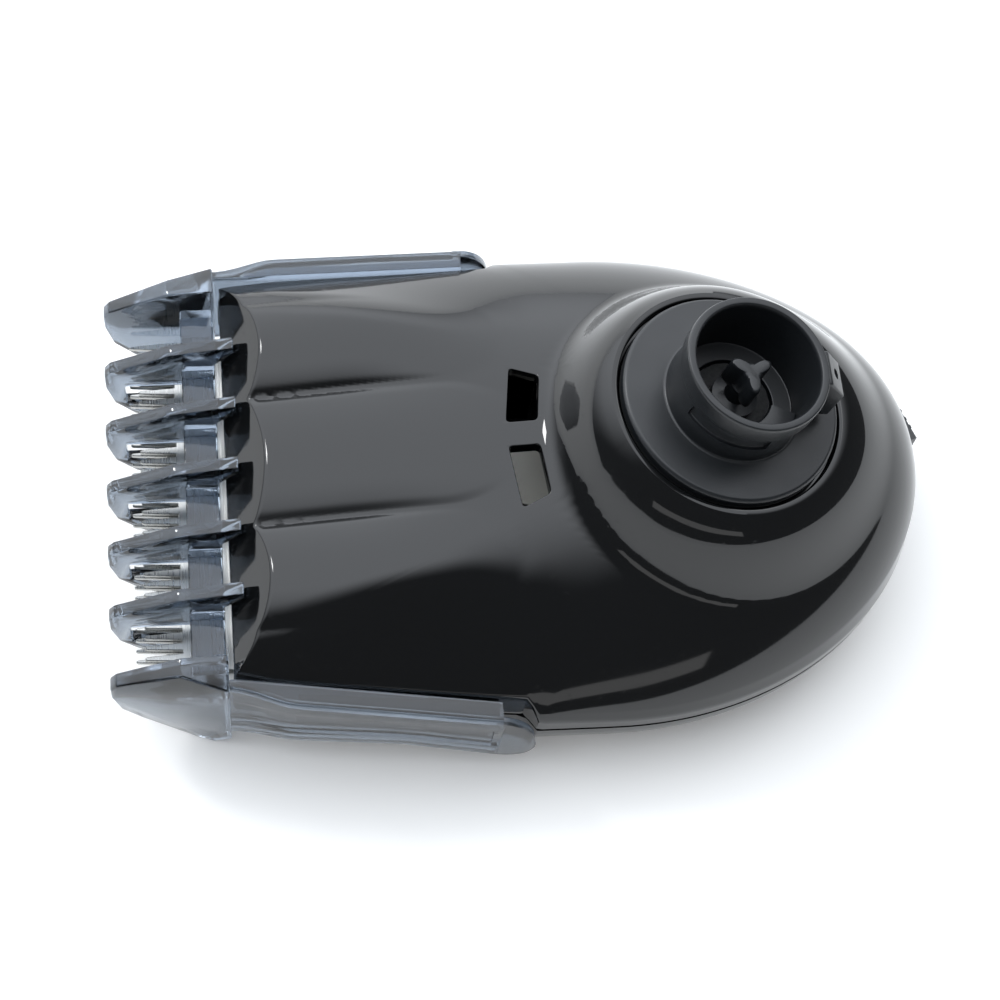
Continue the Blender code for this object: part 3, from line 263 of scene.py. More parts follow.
def mouldedResin(name, colour, low, high, grain, depth):
    made, tree, shader = newMaterial(name, {"Base Color": colour, "IOR": 1.48})
    place = addNode(tree, "ShaderNodeTexCoord")
    skin = addNode(tree, "ShaderNodeTexNoise", {"Scale": perMetre(grain), "Detail": 3},
                   {"Vector": (place, "Object")})
    shine = addNode(tree, "ShaderNodeMapRange", {"From Min": 0.3, "From Max": 0.7, "To Min": low,
                                                 "To Max": high}, {"Value": (skin, "Fac")})
    tree.links.new(shine.outputs["Result"], shader.inputs["Roughness"])
    bumps = addNode(tree, "ShaderNodeBump", {"Strength": 0.4, "Distance": depth},
                    {"Height": (skin, "Fac")})
    tree.links.new(bumps.outputs["Normal"], shader.inputs["Normal"])
    return made


# unfilled acetal: milky, waxy, a broad soft highlight
milkyAcetal = mouldedResin("milkyAcetal", "#d9d7cd", 0.3, 0.45, 0.8, 0.00001)
# nitrile rubber: dull and slightly bloomed
nitrile = mouldedResin("nitrileRubber", "#1b1c1d", 0.6, 0.85, 0.3, 0.00002)

# form of the shells, the same as the CAD solids

housingLow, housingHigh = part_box("main_housing")
joints = {joint["name"]: joint for joint in frame["joints"]}
spindleAxis = Vector(joints["spindle_spin"]["axis"])
spindlePlace = Vector(joints["spindle_spin"]["pos_m"])
tilt = math.atan2(spindleAxis.x, spindleAxis.z)
spindleFrame = Matrix.Translation(spindlePlace) @ Matrix.Rotation(tilt, 4, "Y")

form = {
    "frontX": housingLow.x, "rearX": housingHigh.x, "half": housingHigh.y,
    "wideX": 5.9 * mm, "partZ": 7.0 * mm, "wall": 1.2 * mm, "gap": 0.3 * mm,
    "neckHalf": 17.6 * mm, "neckFlare": 0.098, "recessEndX": -2.0 * mm,
    "shoulderZ": 12.7 * mm, "shoulderDrop": 0.1, "shoulderSlope": 0.93, "frontSlope": 1.03,
    "lipBack": 1.2 * mm, "lipDrop": 3.5 * mm,
    "crownZ": 18.75 * mm, "crownFrontRise": 0.15, "crownRearRise": 0.19, "domeBaseZ": 8.6 * mm,
    "lobeRise": 1.1 * mm, "lobeStep": 0.1 * mm, "lobeSideY": 10.1 * mm, "lobeSideRadius": 4.4 * mm,
    "lobeMidRadius": 5.6 * mm, "lobeEndX": -8.5 * mm,
    "flangeRadius": 9.07 * mm, "seatProud": 0.6 * mm, "collarRadius": 15.0 * mm,
}


def neckHalf(x):
    return form["neckHalf"] + form["neckFlare"] * (x - form["frontX"])


def crown(x):
    return form["crownZ"] + form["crownFrontRise" if x < 0 else "crownRearRise"] * x


def lobe(x, y, centre, radius):
    along = max(0, x - form["lobeEndX"]) / 1.4
    away = math.hypot(along, y - centre) / radius
    step = form["lobeStep"] * smoothStep(0, 0.16, 1 - away)   # a fine step outlines each lobe
    return form["lobeRise"] * max(0, 1 - away * away) + step


def frontHeight(x, y):
    side = form["lobeSideY"]
    lobes = max(lobe(x, y, -side, form["lobeSideRadius"]), lobe(x, y, side, form["lobeSideRadius"]),
                lobe(x, y, 0, form["lobeMidRadius"]))
    shoulder = form["shoulderZ"] - form["shoulderDrop"] * max(0, x + 21 * mm)
    shoulder += (neckHalf(x) - abs(y)) * form["shoulderSlope"]
    return softMin(crown(x) + lobes, shoulder, 1.2 * mm)


def domeHeight(x, y):
    length = max(0, x - form["wideX"]) / (form["rearX"] - form["wideX"])
    width = y / form["half"]
    away = min(1, length ** 2 + width ** 2)
    lean = length ** 2 / away if away else 0
    return form["domeBaseZ"] + (crown(x) - form["domeBaseZ"]) * (1 - away) ** (0.75 - 0.28 * lean)


def bodyHeight(x, y):
    share = smoothStep(-17 * mm, 3 * mm, x)
    height = frontHeight(x, y) * (1 - share) + domeHeight(x, y) * share
    away = math.hypot((x - spindlePlace.x) / math.cos(tilt), y)
    near = 1 - smoothStep(form["flangeRadius"] + form["gap"], form["collarRadius"], away)
    seat = spindlePlace.z - (x - spindlePlace.x) * math.tan(tilt) - form["seatProud"]
    return height + max(0, seat - height) * near


def crestX(y, inset=0):  # where the slanted front wall meets the top
    x = form["frontX"]
    for _ in range(12):
        x = form["frontX"] + 1.4 * inset
        x += (bodyHeight(x, y) - inset - form["shoulderZ"]) / form["frontSlope"]
    return x


def outwardNormal(x, y):
    step = 0.02 * mm
    slopeX = (bodyHeight(x + step, y) - bodyHeight(x - step, y)) / (2 * step)
    slopeY = (bodyHeight(x, y + step) - bodyHeight(x, y - step)) / (2 * step)
    return Vector((-slopeX, -slopeY, 1)).normalized()


def halfWidth(x):  # of the side, from the comb arm's recess to the widest place
    stepped = form["half"] - 0.1 * mm * (1 - smoothStep(form["recessEndX"], form["wideX"], x))
    share = smoothStep(form["recessEndX"] - 0.3 * mm, form["recessEndX"] + 0.9 * mm, x)
    return neckHalf(x) * (1 - share) + stepped * share


def planRing(frontX, counts, corner):  # plan outline, from the middle of the front all the way round
    front, side, rear = counts
    flatEnd = form["neckHalf"] - form["wall"]
    half = [("front", frontX, flatEnd * i / front) for i in range(front + 1)]
    edge = neckHalf(frontX)
    for i in range(1, 9):
        turn = math.pi / 2 * i / 8
        half.append(("corner", frontX + corner * (1 - math.cos(turn)), edge - corner * (1 - math.sin(turn))))
    start = frontX + corner
    for i in range(1, side + 1):
        x = start + (form["wideX"] - start) * i / side
        half.append(("side", x, halfWidth(x)))
    for i in range(1, rear + 1):
        turn = math.pi / 2 * i / rear
        half.append(("rear", form["wideX"] + (form["rearX"] - form["wideX"]) * math.sin(turn),
                     form["half"] * math.cos(turn)))
    back = [(kind, x, -y) for kind, x, y in reversed(half[1:-1])]
    return half + back


def straightRun(start, end, steps):  # points after start, up to end
    return [start.lerp(end, n / steps) for n in range(1, steps + 1)]


def softCorner(before, here, after, radius, steps):
    reach = min(radius, (before - here).length * 0.45, (after - here).length * 0.45)
    start = here + (before - here).normalized() * reach
    end = here + (after - here).normalized() * reach
    points = []
    for n in range(steps + 1):
        share = n / steps
        points.append(start.lerp(here, share).lerp(here.lerp(end, share), share))
    return points


def softPath(keys, radii, arcSteps, runSteps):  # open path with a soft corner at each inner key point
    path = [keys[0].copy()]
    for before, here, after, radius in zip(keys, keys[1:], keys[2:], radii):
        arc = softCorner(before, here, after, radius, arcSteps)
        path += straightRun(path[-1], arc[0], runSteps) + arc[1:]
    return path + straightRun(path[-1], keys[-1], runSteps)


def softPolygon(corners, radius, steps):  # closed outline with every corner soft
    points = []
    for i, here in enumerate(corners):
        points += softCorner(corners[i - 1], here, corners[(i + 1) % len(corners)], radius, steps)
    return points


def wrappedGrid(columns, capped=False):  # equal paths side by side, as a grid bent round until its sides meet
    wide = len(columns)
    high = len(columns[0]) - 1
    bm = bmesh.new()
    bmesh.ops.create_grid(bm, x_segments=wide, y_segments=high, size=0.5)
    for vert in bm.verts:
        column = columns[round((vert.co.x + 0.5) * wide) % wide]
        vert.co = column[round((vert.co.y + 0.5) * high)]
    bmesh.ops.remove_doubles(bm, verts=bm.verts, dist=0.000002)
    if capped:
        bmesh.ops.holes_fill(bm, edges=[e for e in bm.edges if e.is_boundary], sides=0)
    bmesh.ops.recalc_face_normals(bm, faces=bm.faces)
    return bm


def loftedSections(sections):  # equal closed sections, one after another, with both ends closed
    return wrappedGrid(list(zip(*sections)), capped=True)


def raisedOutline(outline, depth, soften=0, segments=2):  # a flat outline given thickness and soft edges
    bm = bmesh.new()
    face = bm.faces.new([bm.verts.new(point) for point in outline])
    grown = bmesh.ops.extrude_face_region(bm, geom=[face])["geom"]
    bmesh.ops.translate(bm, verts=[g for g in grown if isinstance(g, bmesh.types.BMVert)], vec=depth)
    bmesh.ops.recalc_face_normals(bm, faces=bm.faces)
    if soften:
        bmesh.ops.bevel(bm, geom=bm.edges[:], offset=soften, segments=segments, profile=0.5,
                        affect="EDGES", material=-1, clamp_overlap=True)
    return bm


def turnedShape(profile, steps, place):  # a closed profile of (radius, height) spun about a frame's axis
    bm = bmesh.new()
    verts = [bm.verts.new((radius, 0, height)) for radius, height in profile]
    edges = [bm.edges.new(pair) for pair in zip(verts, verts[1:] + verts[:1])]
    bmesh.ops.spin(bm, geom=verts + edges, cent=(0, 0, 0), axis=(0, 0, 1), steps=steps,
                   angle=2 * math.pi, use_merge=True)
    bmesh.ops.remove_doubles(bm, verts=bm.verts, dist=0.000002)
    bmesh.ops.recalc_face_normals(bm, faces=bm.faces)
    bmesh.ops.transform(bm, matrix=place, verts=bm.verts)
    return bm


def cylinder(radius, low, high, sides, place):
    bm = bmesh.new()
    bmesh.ops.create_cone(bm, cap_ends=True, segments=sides, radius1=radius, radius2=radius,
                          depth=high - low)
    bmesh.ops.translate(bm, verts=bm.verts, vec=(0, 0, (low + high) / 2))
    bmesh.ops.transform(bm, matrix=place, verts=bm.verts)
    return bm


def softBox(low, high, soften=0, segments=2, place=Matrix.Identity(4)):
    bm = bmesh.new()
    bmesh.ops.create_cube(bm, size=1)
    for vert in bm.verts:
        vert.co = Vector([low[i] + (high[i] - low[i]) * (vert.co[i] + 0.5) for i in range(3)])
    if soften:
        bmesh.ops.bevel(bm, geom=bm.edges[:], offset=soften, segments=segments, profile=0.5,
                        affect="EDGES", material=-1, clamp_overlap=True)
    bmesh.ops.transform(bm, matrix=place, verts=bm.verts)
    return bm


def carve(piece, operation, tools, sharp=35):  # joins tools to a piece, or cuts them out, for good
    made = []
    for n, tool in enumerate(tools):
        mesh = bpy.data.meshes.new(f"tool{n}")
        tool.to_mesh(mesh)
        tool.free()
        helper = bpy.data.objects.new(f"tool{n}", mesh)
        bpy.context.scene.collection.objects.link(helper)
        made.append(helper)
        step = piece.modifiers.new(f"step{n}", "BOOLEAN")
        step.operation = operation
        step.solver = "EXACT"
        step.object = helper
    graph = bpy.context.evaluated_depsgraph_get()
    finished = bpy.data.meshes.new_from_object(piece.evaluated_get(graph))
    piece.modifiers.clear()
    piece.data = finished
    finished.shade_smooth()
    finished.set_sharp_from_angle(angle=math.radians(sharp))
    for helper in made:
        bpy.data.objects.remove(helper)
    return piece


# housing

housing = {
    "columns": (66, 60, 80),      # on one side: front, recess side, rear
    "topRows": 48, "arcRows": 5, "wallRows": 4, "innerRows": 18,
    "crestRound": 0.5 * mm, "lowerRound": 0.45 * mm, "rimRound": 0.12 * mm, "corner": 0.6 * mm,
    "seatDepth": 1.5 * mm, "seatHole": 4.5 * mm,
    "window": [(-2.8, 1.1), (-0.3, 1.1), (0.22, 5.25), (-2.06, 6.24)],
    "windowRound": 0.4 * mm, "windowChamfer": 0.14 * mm,
    "coverScrews": ((-1.5, 14.2), (20.5, 11.0)), "frameScrew": (4.0, 9.5),
    "bossRadius": 1.9 * mm, "pilotRadius": 0.9 * mm, "pilotDepth": 5 * mm,
    "bossTop": 0.9, "bossRoof": 0.95,  # shares of the wall below the outer surface
    "coverBossLift": 0.2 * mm, "frameBossLow": 8.9 * mm,
}


def spindlePoint(radius, turn, height):
    return spindleFrame @ Vector((radius * math.cos(turn), radius * math.sin(turn), height))


def housingColumn(kind, x, y):
    wall = form["wall"]
    frontX = form["frontX"]
    flatEnd = form["neckHalf"] - wall
    if kind == "front":
        crest = Vector((crestX(y), y, 0))
        inY = y * (flatEnd - 0.05 * mm) / form["neckHalf"]
        lipX = frontX + form["lipBack"]
        lipZ = form["shoulderZ"] - form["lipDrop"]
        keys = [Vector((frontX, y, form["shoulderZ"])), Vector((lipX, y, lipZ)),
                Vector((lipX + wall, inY, lipZ)),
                Vector((frontX + 1.4 * wall, inY, form["shoulderZ"] - 0.4 * mm))]
        inner = Vector((crestX(inY, wall), inY, 0))
    else:
        rim = form["partZ"] + form["gap"] / 2
        crest = Vector((max(crestX(y), x) if kind == "corner" else x, y, 0))
        middle = min(form["shoulderZ"], 0.55 * bodyHeight(crest.x, crest.y) + 0.45 * rim)
        if kind == "corner":
            inner = Vector((frontX + 1.3 * wall + (x - frontX) * 0.5, math.copysign(flatEnd, y), 0))
        elif kind == "side":
            inner = Vector((max(x, frontX + 1.8 * wall), math.copysign(abs(y) - wall, y), 0))
        else:
            away = Vector((x - form["wideX"], y))
            shrink = 1 - wall / away.length
            inner = Vector((form["wideX"] + away.x * shrink, away.y * shrink, 0))
        keys = [Vector((x, y, middle)), Vector((x, y, rim)), Vector((inner.x, inner.y, rim)),
                Vector((inner.x, inner.y, middle))]
    crest.z = bodyHeight(crest.x, crest.y)
    turn = math.atan2(crest.y, crest.x - spindlePlace.x)
    rimRadius = form["flangeRadius"] + form["gap"]
    seat = [spindlePoint(housing["seatHole"], turn, -housing["seatDepth"]),
            spindlePoint(rimRadius, turn, -housing["seatDepth"]),
            spindlePoint(rimRadius, turn, -form["seatProud"]),
            spindlePoint(rimRadius + 0.5 * mm, turn, -form["seatProud"])]
    path = softPath(seat, [0.1 * mm, 0.14 * mm], 4, 2)
    near = path[-1].copy()
    away = Vector((crest.x - near.x, crest.y - near.y))
    away *= 1 - housing["crestRound"] / away.length
    # rows gather toward the rim at the rear, where the dome turns down
    gather = 1.15 + 0.95 * smoothStep(-6 * mm, 10 * mm, crest.x)
    for i in range(1, housing["topRows"] + 1):
        share = 1 - (1 - i / housing["topRows"]) ** gather
        px, py = near.x + away.x * share, near.y + away.y * share
        path.append(Vector((px, py, bodyHeight(px, py))))
    edge = [path[-1], crest] + keys
    path += softPath(edge, [housing["crestRound"], housing["lowerRound"], housing["rimRound"],
                            housing["rimRound"]], housing["arcRows"], housing["wallRows"])[1:]
    innerNear = spindlePoint(rimRadius + 1.3 * mm, turn, -form["seatProud"])
    for i in range(housing["innerRows"] + 1):
        share = 0.985 * (1 - i / housing["innerRows"]) ** 1.3
        px = innerNear.x + (inner.x - innerNear.x) * share
        py = innerNear.y + (inner.y - innerNear.y) * share
        path.append(Vector((px, py, bodyHeight(px, py))) - outwardNormal(px, py) * wall)
    path.append(spindlePoint(rimRadius + 0.9 * mm, turn, -housing["seatDepth"] - wall))
    path.append(spindlePoint(housing["seatHole"], turn, -housing["seatDepth"] - wall))
    path.append(path[0].copy())
    return path


def windowCutter(side):  # upright walls with a small chamfer that follows the surface
    corners = [Vector((x * mm, side * y * mm, 0)) for x, y in housing["window"]]
    outline = softPolygon(corners, housing["windowRound"], 5)
    centre = sum(corners, Vector()) / 4
    sections = []
    chamfer = housing["windowChamfer"]
    for grow, rise in ((0, -8 * mm), (0, -chamfer), (0.3 * chamfer, -0.3 * chamfer),
                       (chamfer, 0.1 * chamfer), (chamfer, 2 * mm)):
        section = []
        for point in outline:
            grown = point + (point - centre).normalized() * grow
            section.append(Vector((grown.x, grown.y, bodyHeight(grown.x, grown.y) + rise)))
        sections.append(section)
    return loftedSections(sections)


ring = planRing(form["frontX"], housing["columns"], housing["corner"])
shell = newPiece("housingShell", wrappedGrid([housingColumn(*entry) for entry in ring]), polishedAbs)
carve(shell, "DIFFERENCE", [windowCutter(-1), windowCutter(1)])
finishPiece(shell, "housing", "gloss_black", "main_housing")

bosses = bmesh.new()
coverLow = form["partZ"] + housing["coverBossLift"]
frameX, frameY = housing["frameScrew"]
bossPlaces = [(x, side * y, coverLow) for x, y in housing["coverScrews"] for side in (-1, 1)]
bossPlaces += [(frameX, side * frameY, housing["frameBossLow"]) for side in (-1, 1)]
for x, y, low in bossPlaces:
    top = bodyHeight(x * mm, y * mm) - housing["bossTop"] * form["wall"]
    pilotTop = low + housing["pilotDepth"]
    tube = turnedShape([(housing["pilotRadius"], low), (housing["bossRadius"], low),
                        (housing["bossRadius"], top), (0, top), (0, pilotTop),
                        (housing["pilotRadius"], pilotTop)], 28, Matrix.Translation((x * mm, y * mm, 0)))
    for vert in tube.verts:   # the top follows the roof, inside its thickness
        if vert.co.z > top - 0.01 * mm:
            vert.co.z = bodyHeight(vert.co.x, vert.co.y) - housing["bossRoof"] * form["wall"]
    scratch = bpy.data.meshes.new("boss")
    tube.to_mesh(scratch)
    tube.free()
    bosses.from_mesh(scratch)
    bpy.data.meshes.remove(scratch)
finishPiece(newPiece("housingBosses", bosses, polishedAbs), "housing", "gloss_black")
print("housing ready")

# face cover, on the skin side

cover = {
    "columns": (40, 36, 54), "rows": 30, "corner": 0.8 * mm, "frontX": -23.2 * mm,
    "frontRim": 4.0 * mm, "rim": 6.85 * mm,
    # share of the height, and how far the wall has come in by there, in millimetres
    "bowl": [(1.0, 0.0), (0.8, 0.1), (0.55, 0.5), (0.38, 1.05), (0.24, 1.9), (0.13, 3.05),
             (0.06, 4.4), (0.02, 5.6), (0.0, 6.8)],
    "sinkRadius": 1.75 * mm, "sinkDepth": 1.5 * mm,
    "notch": (-15.3, -4.7, 4.9), "tabSlot": (26.7, 34.5, 4.6), "tabHalf": 8.6,
}


def coverColumn(kind, x, y):
    top = cover["frontRim"] if kind == "front" else cover["rim"]
    away = Vector((x - 3 * mm, y))
    keys = []
    for share, inset in cover["bowl"]:
        shrink = max(0, away.length - inset * mm) / away.length
        keys.append(Vector((3 * mm + away.x * shrink, away.y * shrink, top * share)))
    path = []
    for i in range(cover["rows"] + 1):  # a smooth curve through the bowl's key points
        at = (len(keys) - 1) * i / cover["rows"]
        n = min(int(at), len(keys) - 2)
        share = at - n
        a, b = keys[max(0, n - 1)], keys[n]
        c, d = keys[n + 1], keys[min(n + 2, len(keys) - 1)]
        path.append((b * 2 + (c - a) * share + (a * 2 - b * 5 + c * 4 - d) * share ** 2
                     + (b * 3 - a - c * 3 + d) * share ** 3) / 2)
    for share in (0.66, 0.33, 0):
        path.append(Vector((3 * mm + (keys[-1].x - 3 * mm) * share, keys[-1].y * share, 0)))
    return path


ring = planRing(cover["frontX"], cover["columns"], cover["corner"])
bowl = newPiece("faceCover", wrappedGrid([coverColumn(*entry) for entry in ring]), polishedAbs)
wall = bowl.modifiers.new("wall", "SOLIDIFY")
wall.thickness = form["wall"]
wall.offset = -1
wall.use_even_offset = True
cuts = []
low, high, floorZ = cover["notch"]
for side in (-1, 1):
    near, far = sorted((side * 15.5 * mm, side * 24 * mm))
    cuts.append(softBox((low * mm, near, floorZ * mm), (high * mm, far, 9 * mm), 0.2 * mm))
    for x, y in housing["coverScrews"]:
        at = Matrix.Translation((x * mm, side * y * mm, 0))
        cuts.append(turnedShape([(0, -mm), (cover["sinkRadius"] + 0.2 * mm, -mm),
                                 (cover["sinkRadius"] + 0.2 * mm, 0), (cover["sinkRadius"], 0.2 * mm),
                                 (cover["sinkRadius"], cover["sinkDepth"]), (0, cover["sinkDepth"])], 40, at))
low, high, floorZ = cover["tabSlot"]
cuts.append(softBox((low * mm, -cover["tabHalf"] * mm, floorZ * mm),
                    (high * mm, cover["tabHalf"] * mm, 9 * mm), 0.2 * mm))
carve(bowl, "DIFFERENCE", cuts)
finishPiece(bowl, "housing", "gloss_black", "face_cover")
print("face cover ready")

# coupling spigot and spindle

spigot = {
    # radius and height of each key point of the section, and how soft that corner is
    "section": [(3.5, -0.2, 0.1), (5.1, -0.2, 0.12), (5.1, 5.6, 0.2), (5.25, 5.9, 0.1), (5.78, 5.9, 0.12),
                (5.87, 5.7, 0.1), (5.87, 4.1, 0.12), (5.6, 3.85, 0.12), (5.6, 0.0, 0.25),
                (8.85, 0.0, 0.12), (9.07, -0.25, 0.1), (9.07, -1.2, 0.12), (4.2, -1.2, 0.3),
                (4.2, -6.2, 0.2), (2.3, -6.2, 0.1), (2.3, -1.0, 0.1), (3.5, -1.0, 0.1)],
    "steps": 120,
    "keyWidth": 3.0, "keySection": [(5.35, 0.7), (7.7, 0.7), (7.7, 3.9), (5.97, 5.75), (5.35, 5.75)],
    "dimpleRadius": 0.45, "dimpleDepth": 0.35,
    "latch": {"turns": (-152, -78), "radii": (5.32, 6.2), "heights": (2.1, 3.35)},
    "ledge": {"turns": (-195, -20), "radii": (2.9, 5.15), "heights": (0.35, 1.05)},
    "bossRadius": 1.1, "bossPlace": 7.2,
}
section = [Vector((radius * mm, height * mm, 0)) for radius, height, soft in spigot["section"]]
profile = []
for i, (radius, height, soft) in enumerate(spigot["section"]):
    profile += softCorner(section[i - 1], section[i], section[(i + 1) % len(section)], soft * mm, 3)
coupling = newPiece("couplingSpigot", turnedShape([(p.x, p.y) for p in profile], spigot["steps"],
                                                  spindleFrame), grainedAbs)


def curvedBlock(turns, radii, heights, soften=0.1):  # a block bent round the spindle's axis
    low, high = [math.radians(turn) for turn in turns]
    inner, outer = radii
    sections = []
    for n in range(25):
        turn = low + (high - low) * n / 24
        corners = [Vector((radius * mm, height * mm, 0)) for radius, height in
                   ((inner, heights[0]), (outer, heights[0]), (outer, heights[1]), (inner, heights[1]))]
        sections.append([spindlePoint(p.x, turn, p.y) for p in softPolygon(corners, soften * mm, 3)])
    return loftedSections(sections)


upright = spindleFrame @ Matrix.Rotation(math.pi / 2, 4, "X")
half = spigot["keyWidth"] / 2 * mm
key = raisedOutline([Vector((x * mm, z * mm, -half)) for x, z in spigot["keySection"]], (0, 0, 2 * half),
                    0.14 * mm, 3)
bmesh.ops.transform(key, matrix=upright, verts=key.verts)
ledge = curvedBlock(**{k: spigot["ledge"][k] for k in ("turns", "radii", "heights")}, soften=0.2)
joined = [key, ledge]
for n in range(3):
    turn = math.radians(60 + 120 * n)
    at = spindleFrame @ Matrix.Translation((spigot["bossPlace"] * mm * math.cos(turn),
                                            spigot["bossPlace"] * mm * math.sin(turn), 0))
    joined.append(cylinder(spigot["bossRadius"] * mm, -2.5 * mm, -0.8 * mm, 24, at))
carve(coupling, "UNION", joined)
latch = curvedBlock(**spigot["latch"])
slopeTurn = math.atan2(5.75 - 3.9, 7.7 - 5.97)
dimpleAt = spindleFrame @ Matrix.Translation((6.85 * mm, 0, 4.8 * mm)) @ Matrix.Rotation(slopeTurn, 4, "Y")
dimple = cylinder(spigot["dimpleRadius"] * mm, -spigot["dimpleDepth"] * mm, 1 * mm, 24, dimpleAt)
carve(coupling, "DIFFERENCE", [latch, dimple])
finishPiece(coupling, "housing", "satin_black", "coupling_spigot")

spindle = {
    "shaft": [(0, 2.4), (1.0, 2.4), (1.0, 0.75), (1.9, 0.5), (1.9, -0.2), (1.0, -0.2), (1.0, -6.3),
              (0.8, -6.3), (0.8, -7.0), (1.0, -7.0), (1.0, -9.9), (0.8, -9.9), (0, -9.9)],
    "core": 0.78, "reach": 1.12, "arms": 3, "armTurn": 30, "low": 1.8, "top": 4.55, "soften": 0.16,
}
shaft = newPiece("driveSpindle", turnedShape([(r * mm, h * mm) for r, h in spindle["shaft"]], 48,
                                             spindleFrame), grainedAbs)
outline = []
for n in range(96):
    turn = 2 * math.pi * n / 96
    lean = 0.5 + 0.5 * math.cos(spindle["arms"] * (turn - math.radians(spindle["armTurn"])))
    radius = (spindle["core"] + spindle["reach"] * lean ** 2.2) * mm
    outline.append(Vector((radius * math.cos(turn), radius * math.sin(turn), 0)))
sections = []
for height, shrink in ((spindle["low"], 0.3), (spindle["low"] + 0.25, 0.05), (spindle["low"] + 0.4, 0),
                       (spindle["top"] - 0.35, 0), (spindle["top"] - 0.14, 0.05),
                       (spindle["top"] - 0.03, 0.16), (spindle["top"], 0.34)):
    sections.append([spindleFrame @ (p * (1 - shrink * mm / p.length) + Vector((0, 0, height * mm)))
                     for p in outline])
carve(shaft, "UNION", [loftedSections(sections)], 40)
finishPiece(shaft, "spindle", "satin_black", "drive_spindle")
print("spigot and spindle ready")

# guard comb

comb = {
    "ribs": 5, "pitch": 5.45, "ribThick": 1.1, "ribSoften": 0.16,
    "rib": [(-24.35, 15.3), (-29.5, 14.3), (-34.6, 11.6), (-35.1, 10.8), (-35.1, 8.9), (-34.5, 6.2),
            (-33.0, 4.2), (-28.6, 0.3), (-27.2, 0.3), (-24.0, 4.2), (-24.0, 5.9), (-33.5, 5.9),
            (-33.5, 9.0), (-25.9, 9.0), (-25.9, 12.4), (-24.35, 14.2)],
    "cheek": [(-25.8, 14.6), (-29.5, 14.3), (-34.6, 11.6), (-35.1, 10.8), (-35.1, 8.9), (-34.5, 6.2),
              (-33.0, 4.2), (-28.6, 0.3), (-27.2, 0.3), (-25.8, 2.2), (-25.8, 8.0)],
    "cheekIn": 16.1, "cheekOut": 17.3, "cheekBend": -30.5, "cheekFlare": 0.37,
    "bar": ((-28.7, 9.4), (-25.95, 11.6)), "barSoften": 0.22,
    "armStations": 26, "armStart": -26.4, "armBend": -20.6, "armDrop": -12.0, "armEnd": -4.3,
    "tailEnd": -1.3, "flange": 0.9, "lip": 0.6, "armWall": 0.8, "panel": 0.22,
    # lower edge at the front, its rise at the bend and its fall further back; top edge and its fall
    "armLow": (3.4, 1.2, 0.23), "armTop": (13.9, 0.135, 26.5), "armClear": 0.3, "armReach": 2.2,
    "armNear": 17.9, "panelSpan": (0.3, 0.72), "panelEdge": 0.15, "armSoften": 0.12,
    "tailOverlap": 0.6, "tailInset": (0.03, 0.08), "tailEdges": (0.06, 0.2), "tailMiddle": 0.42,
    "tailRound": 2.6, "tailSoften": 0.18, "tailSteps": 14, "cheekSoften": 0.22, "cheekDrop": 0.1,
    "barOverlap": 0.4,
}


def cheekOut(x):
    return comb["cheekOut"] + comb["cheekFlare"] * max(0, x - comb["cheekBend"])


def armLow(x):
    low, rise, fall = comb["armLow"]
    raised = low + rise * smoothStep(comb["armStart"], comb["armBend"], x)
    return raised - fall * max(0, x - comb["armDrop"])


def armTop(x):
    top, fall, start = comb["armTop"]
    return top - fall * (x + start)


def sideWidth(x):  # of the housing beside an arm
    return neckHalf(x * mm) / mm


def armFar(x):
    share = smoothStep(comb["armStart"], comb["armBend"], x)
    return (cheekOut(comb["armStart"]) - 0.05) * (1 - share) + (sideWidth(x) + comb["armReach"]) * share


def armSection(side, x):  # channel with a sunk panel along its outer wall
    near = sideWidth(x) + comb["armClear"]
    if x < comb["armBend"]:
        near = max(comb["armNear"], near)
    far = armFar(x)
    low, top = armLow(x), armTop(x)
    inner = far - comb["armWall"]
    sunk = far - comb["panel"] * smoothStep(comb["armStart"] + 1, comb["armBend"], x)
    under, high = [low + (top - low) * share for share in comb["panelSpan"]]
    edge = comb["panelEdge"]
    corners = [(near, top), (far - 0.3, top), (far, top - 0.45), (far, high + edge), (sunk, high - edge),
               (sunk, under + edge), (far, under - edge), (far, low + 0.2), (far - 0.25, low), (near, low),
               (near, low + comb["lip"]), (inner, low + comb["lip"]), (inner, top - comb["flange"]),
               (near, top - comb["flange"])]
    points = [Vector((x * mm, side * y * mm, z * mm)) for y, z in corners]
    return softPolygon(points, comb["armSoften"] * mm, 2)


def tailSection(side, x):  # the rounded end, only the outer wall
    start, end = comb["armEnd"] - comb["tailOverlap"], comb["tailEnd"]
    along = max(0, (x - start) / (end - start))
    outer, inner = comb["tailInset"]
    far = sideWidth(x) + comb["armReach"] - outer
    near = far - comb["armWall"] + inner
    low, top = armLow(x) + comb["tailEdges"][0], armTop(x) - comb["tailEdges"][1]
    middle = low + (top - low) * comb["tailMiddle"]
    shrink = math.sqrt(max(0.02, 1 - along ** comb["tailRound"]))
    low, top = middle + (low - middle) * shrink, middle + (top - middle) * shrink
    corners = [(near, low), (far, low), (far, top), (near, top)]
    points = [Vector((x * mm, side * y * mm, z * mm)) for y, z in corners]
    return softPolygon(points, comb["tailSoften"] * mm, 3)


def combRib(y):  # the side outline given thickness in y
    thick = comb["ribThick"]
    corners = [Vector((x * mm, (y - thick / 2) * mm, z * mm)) for x, z in comb["rib"]]
    return raisedOutline(corners, (0, thick * mm, 0), comb["ribSoften"] * mm, 2)


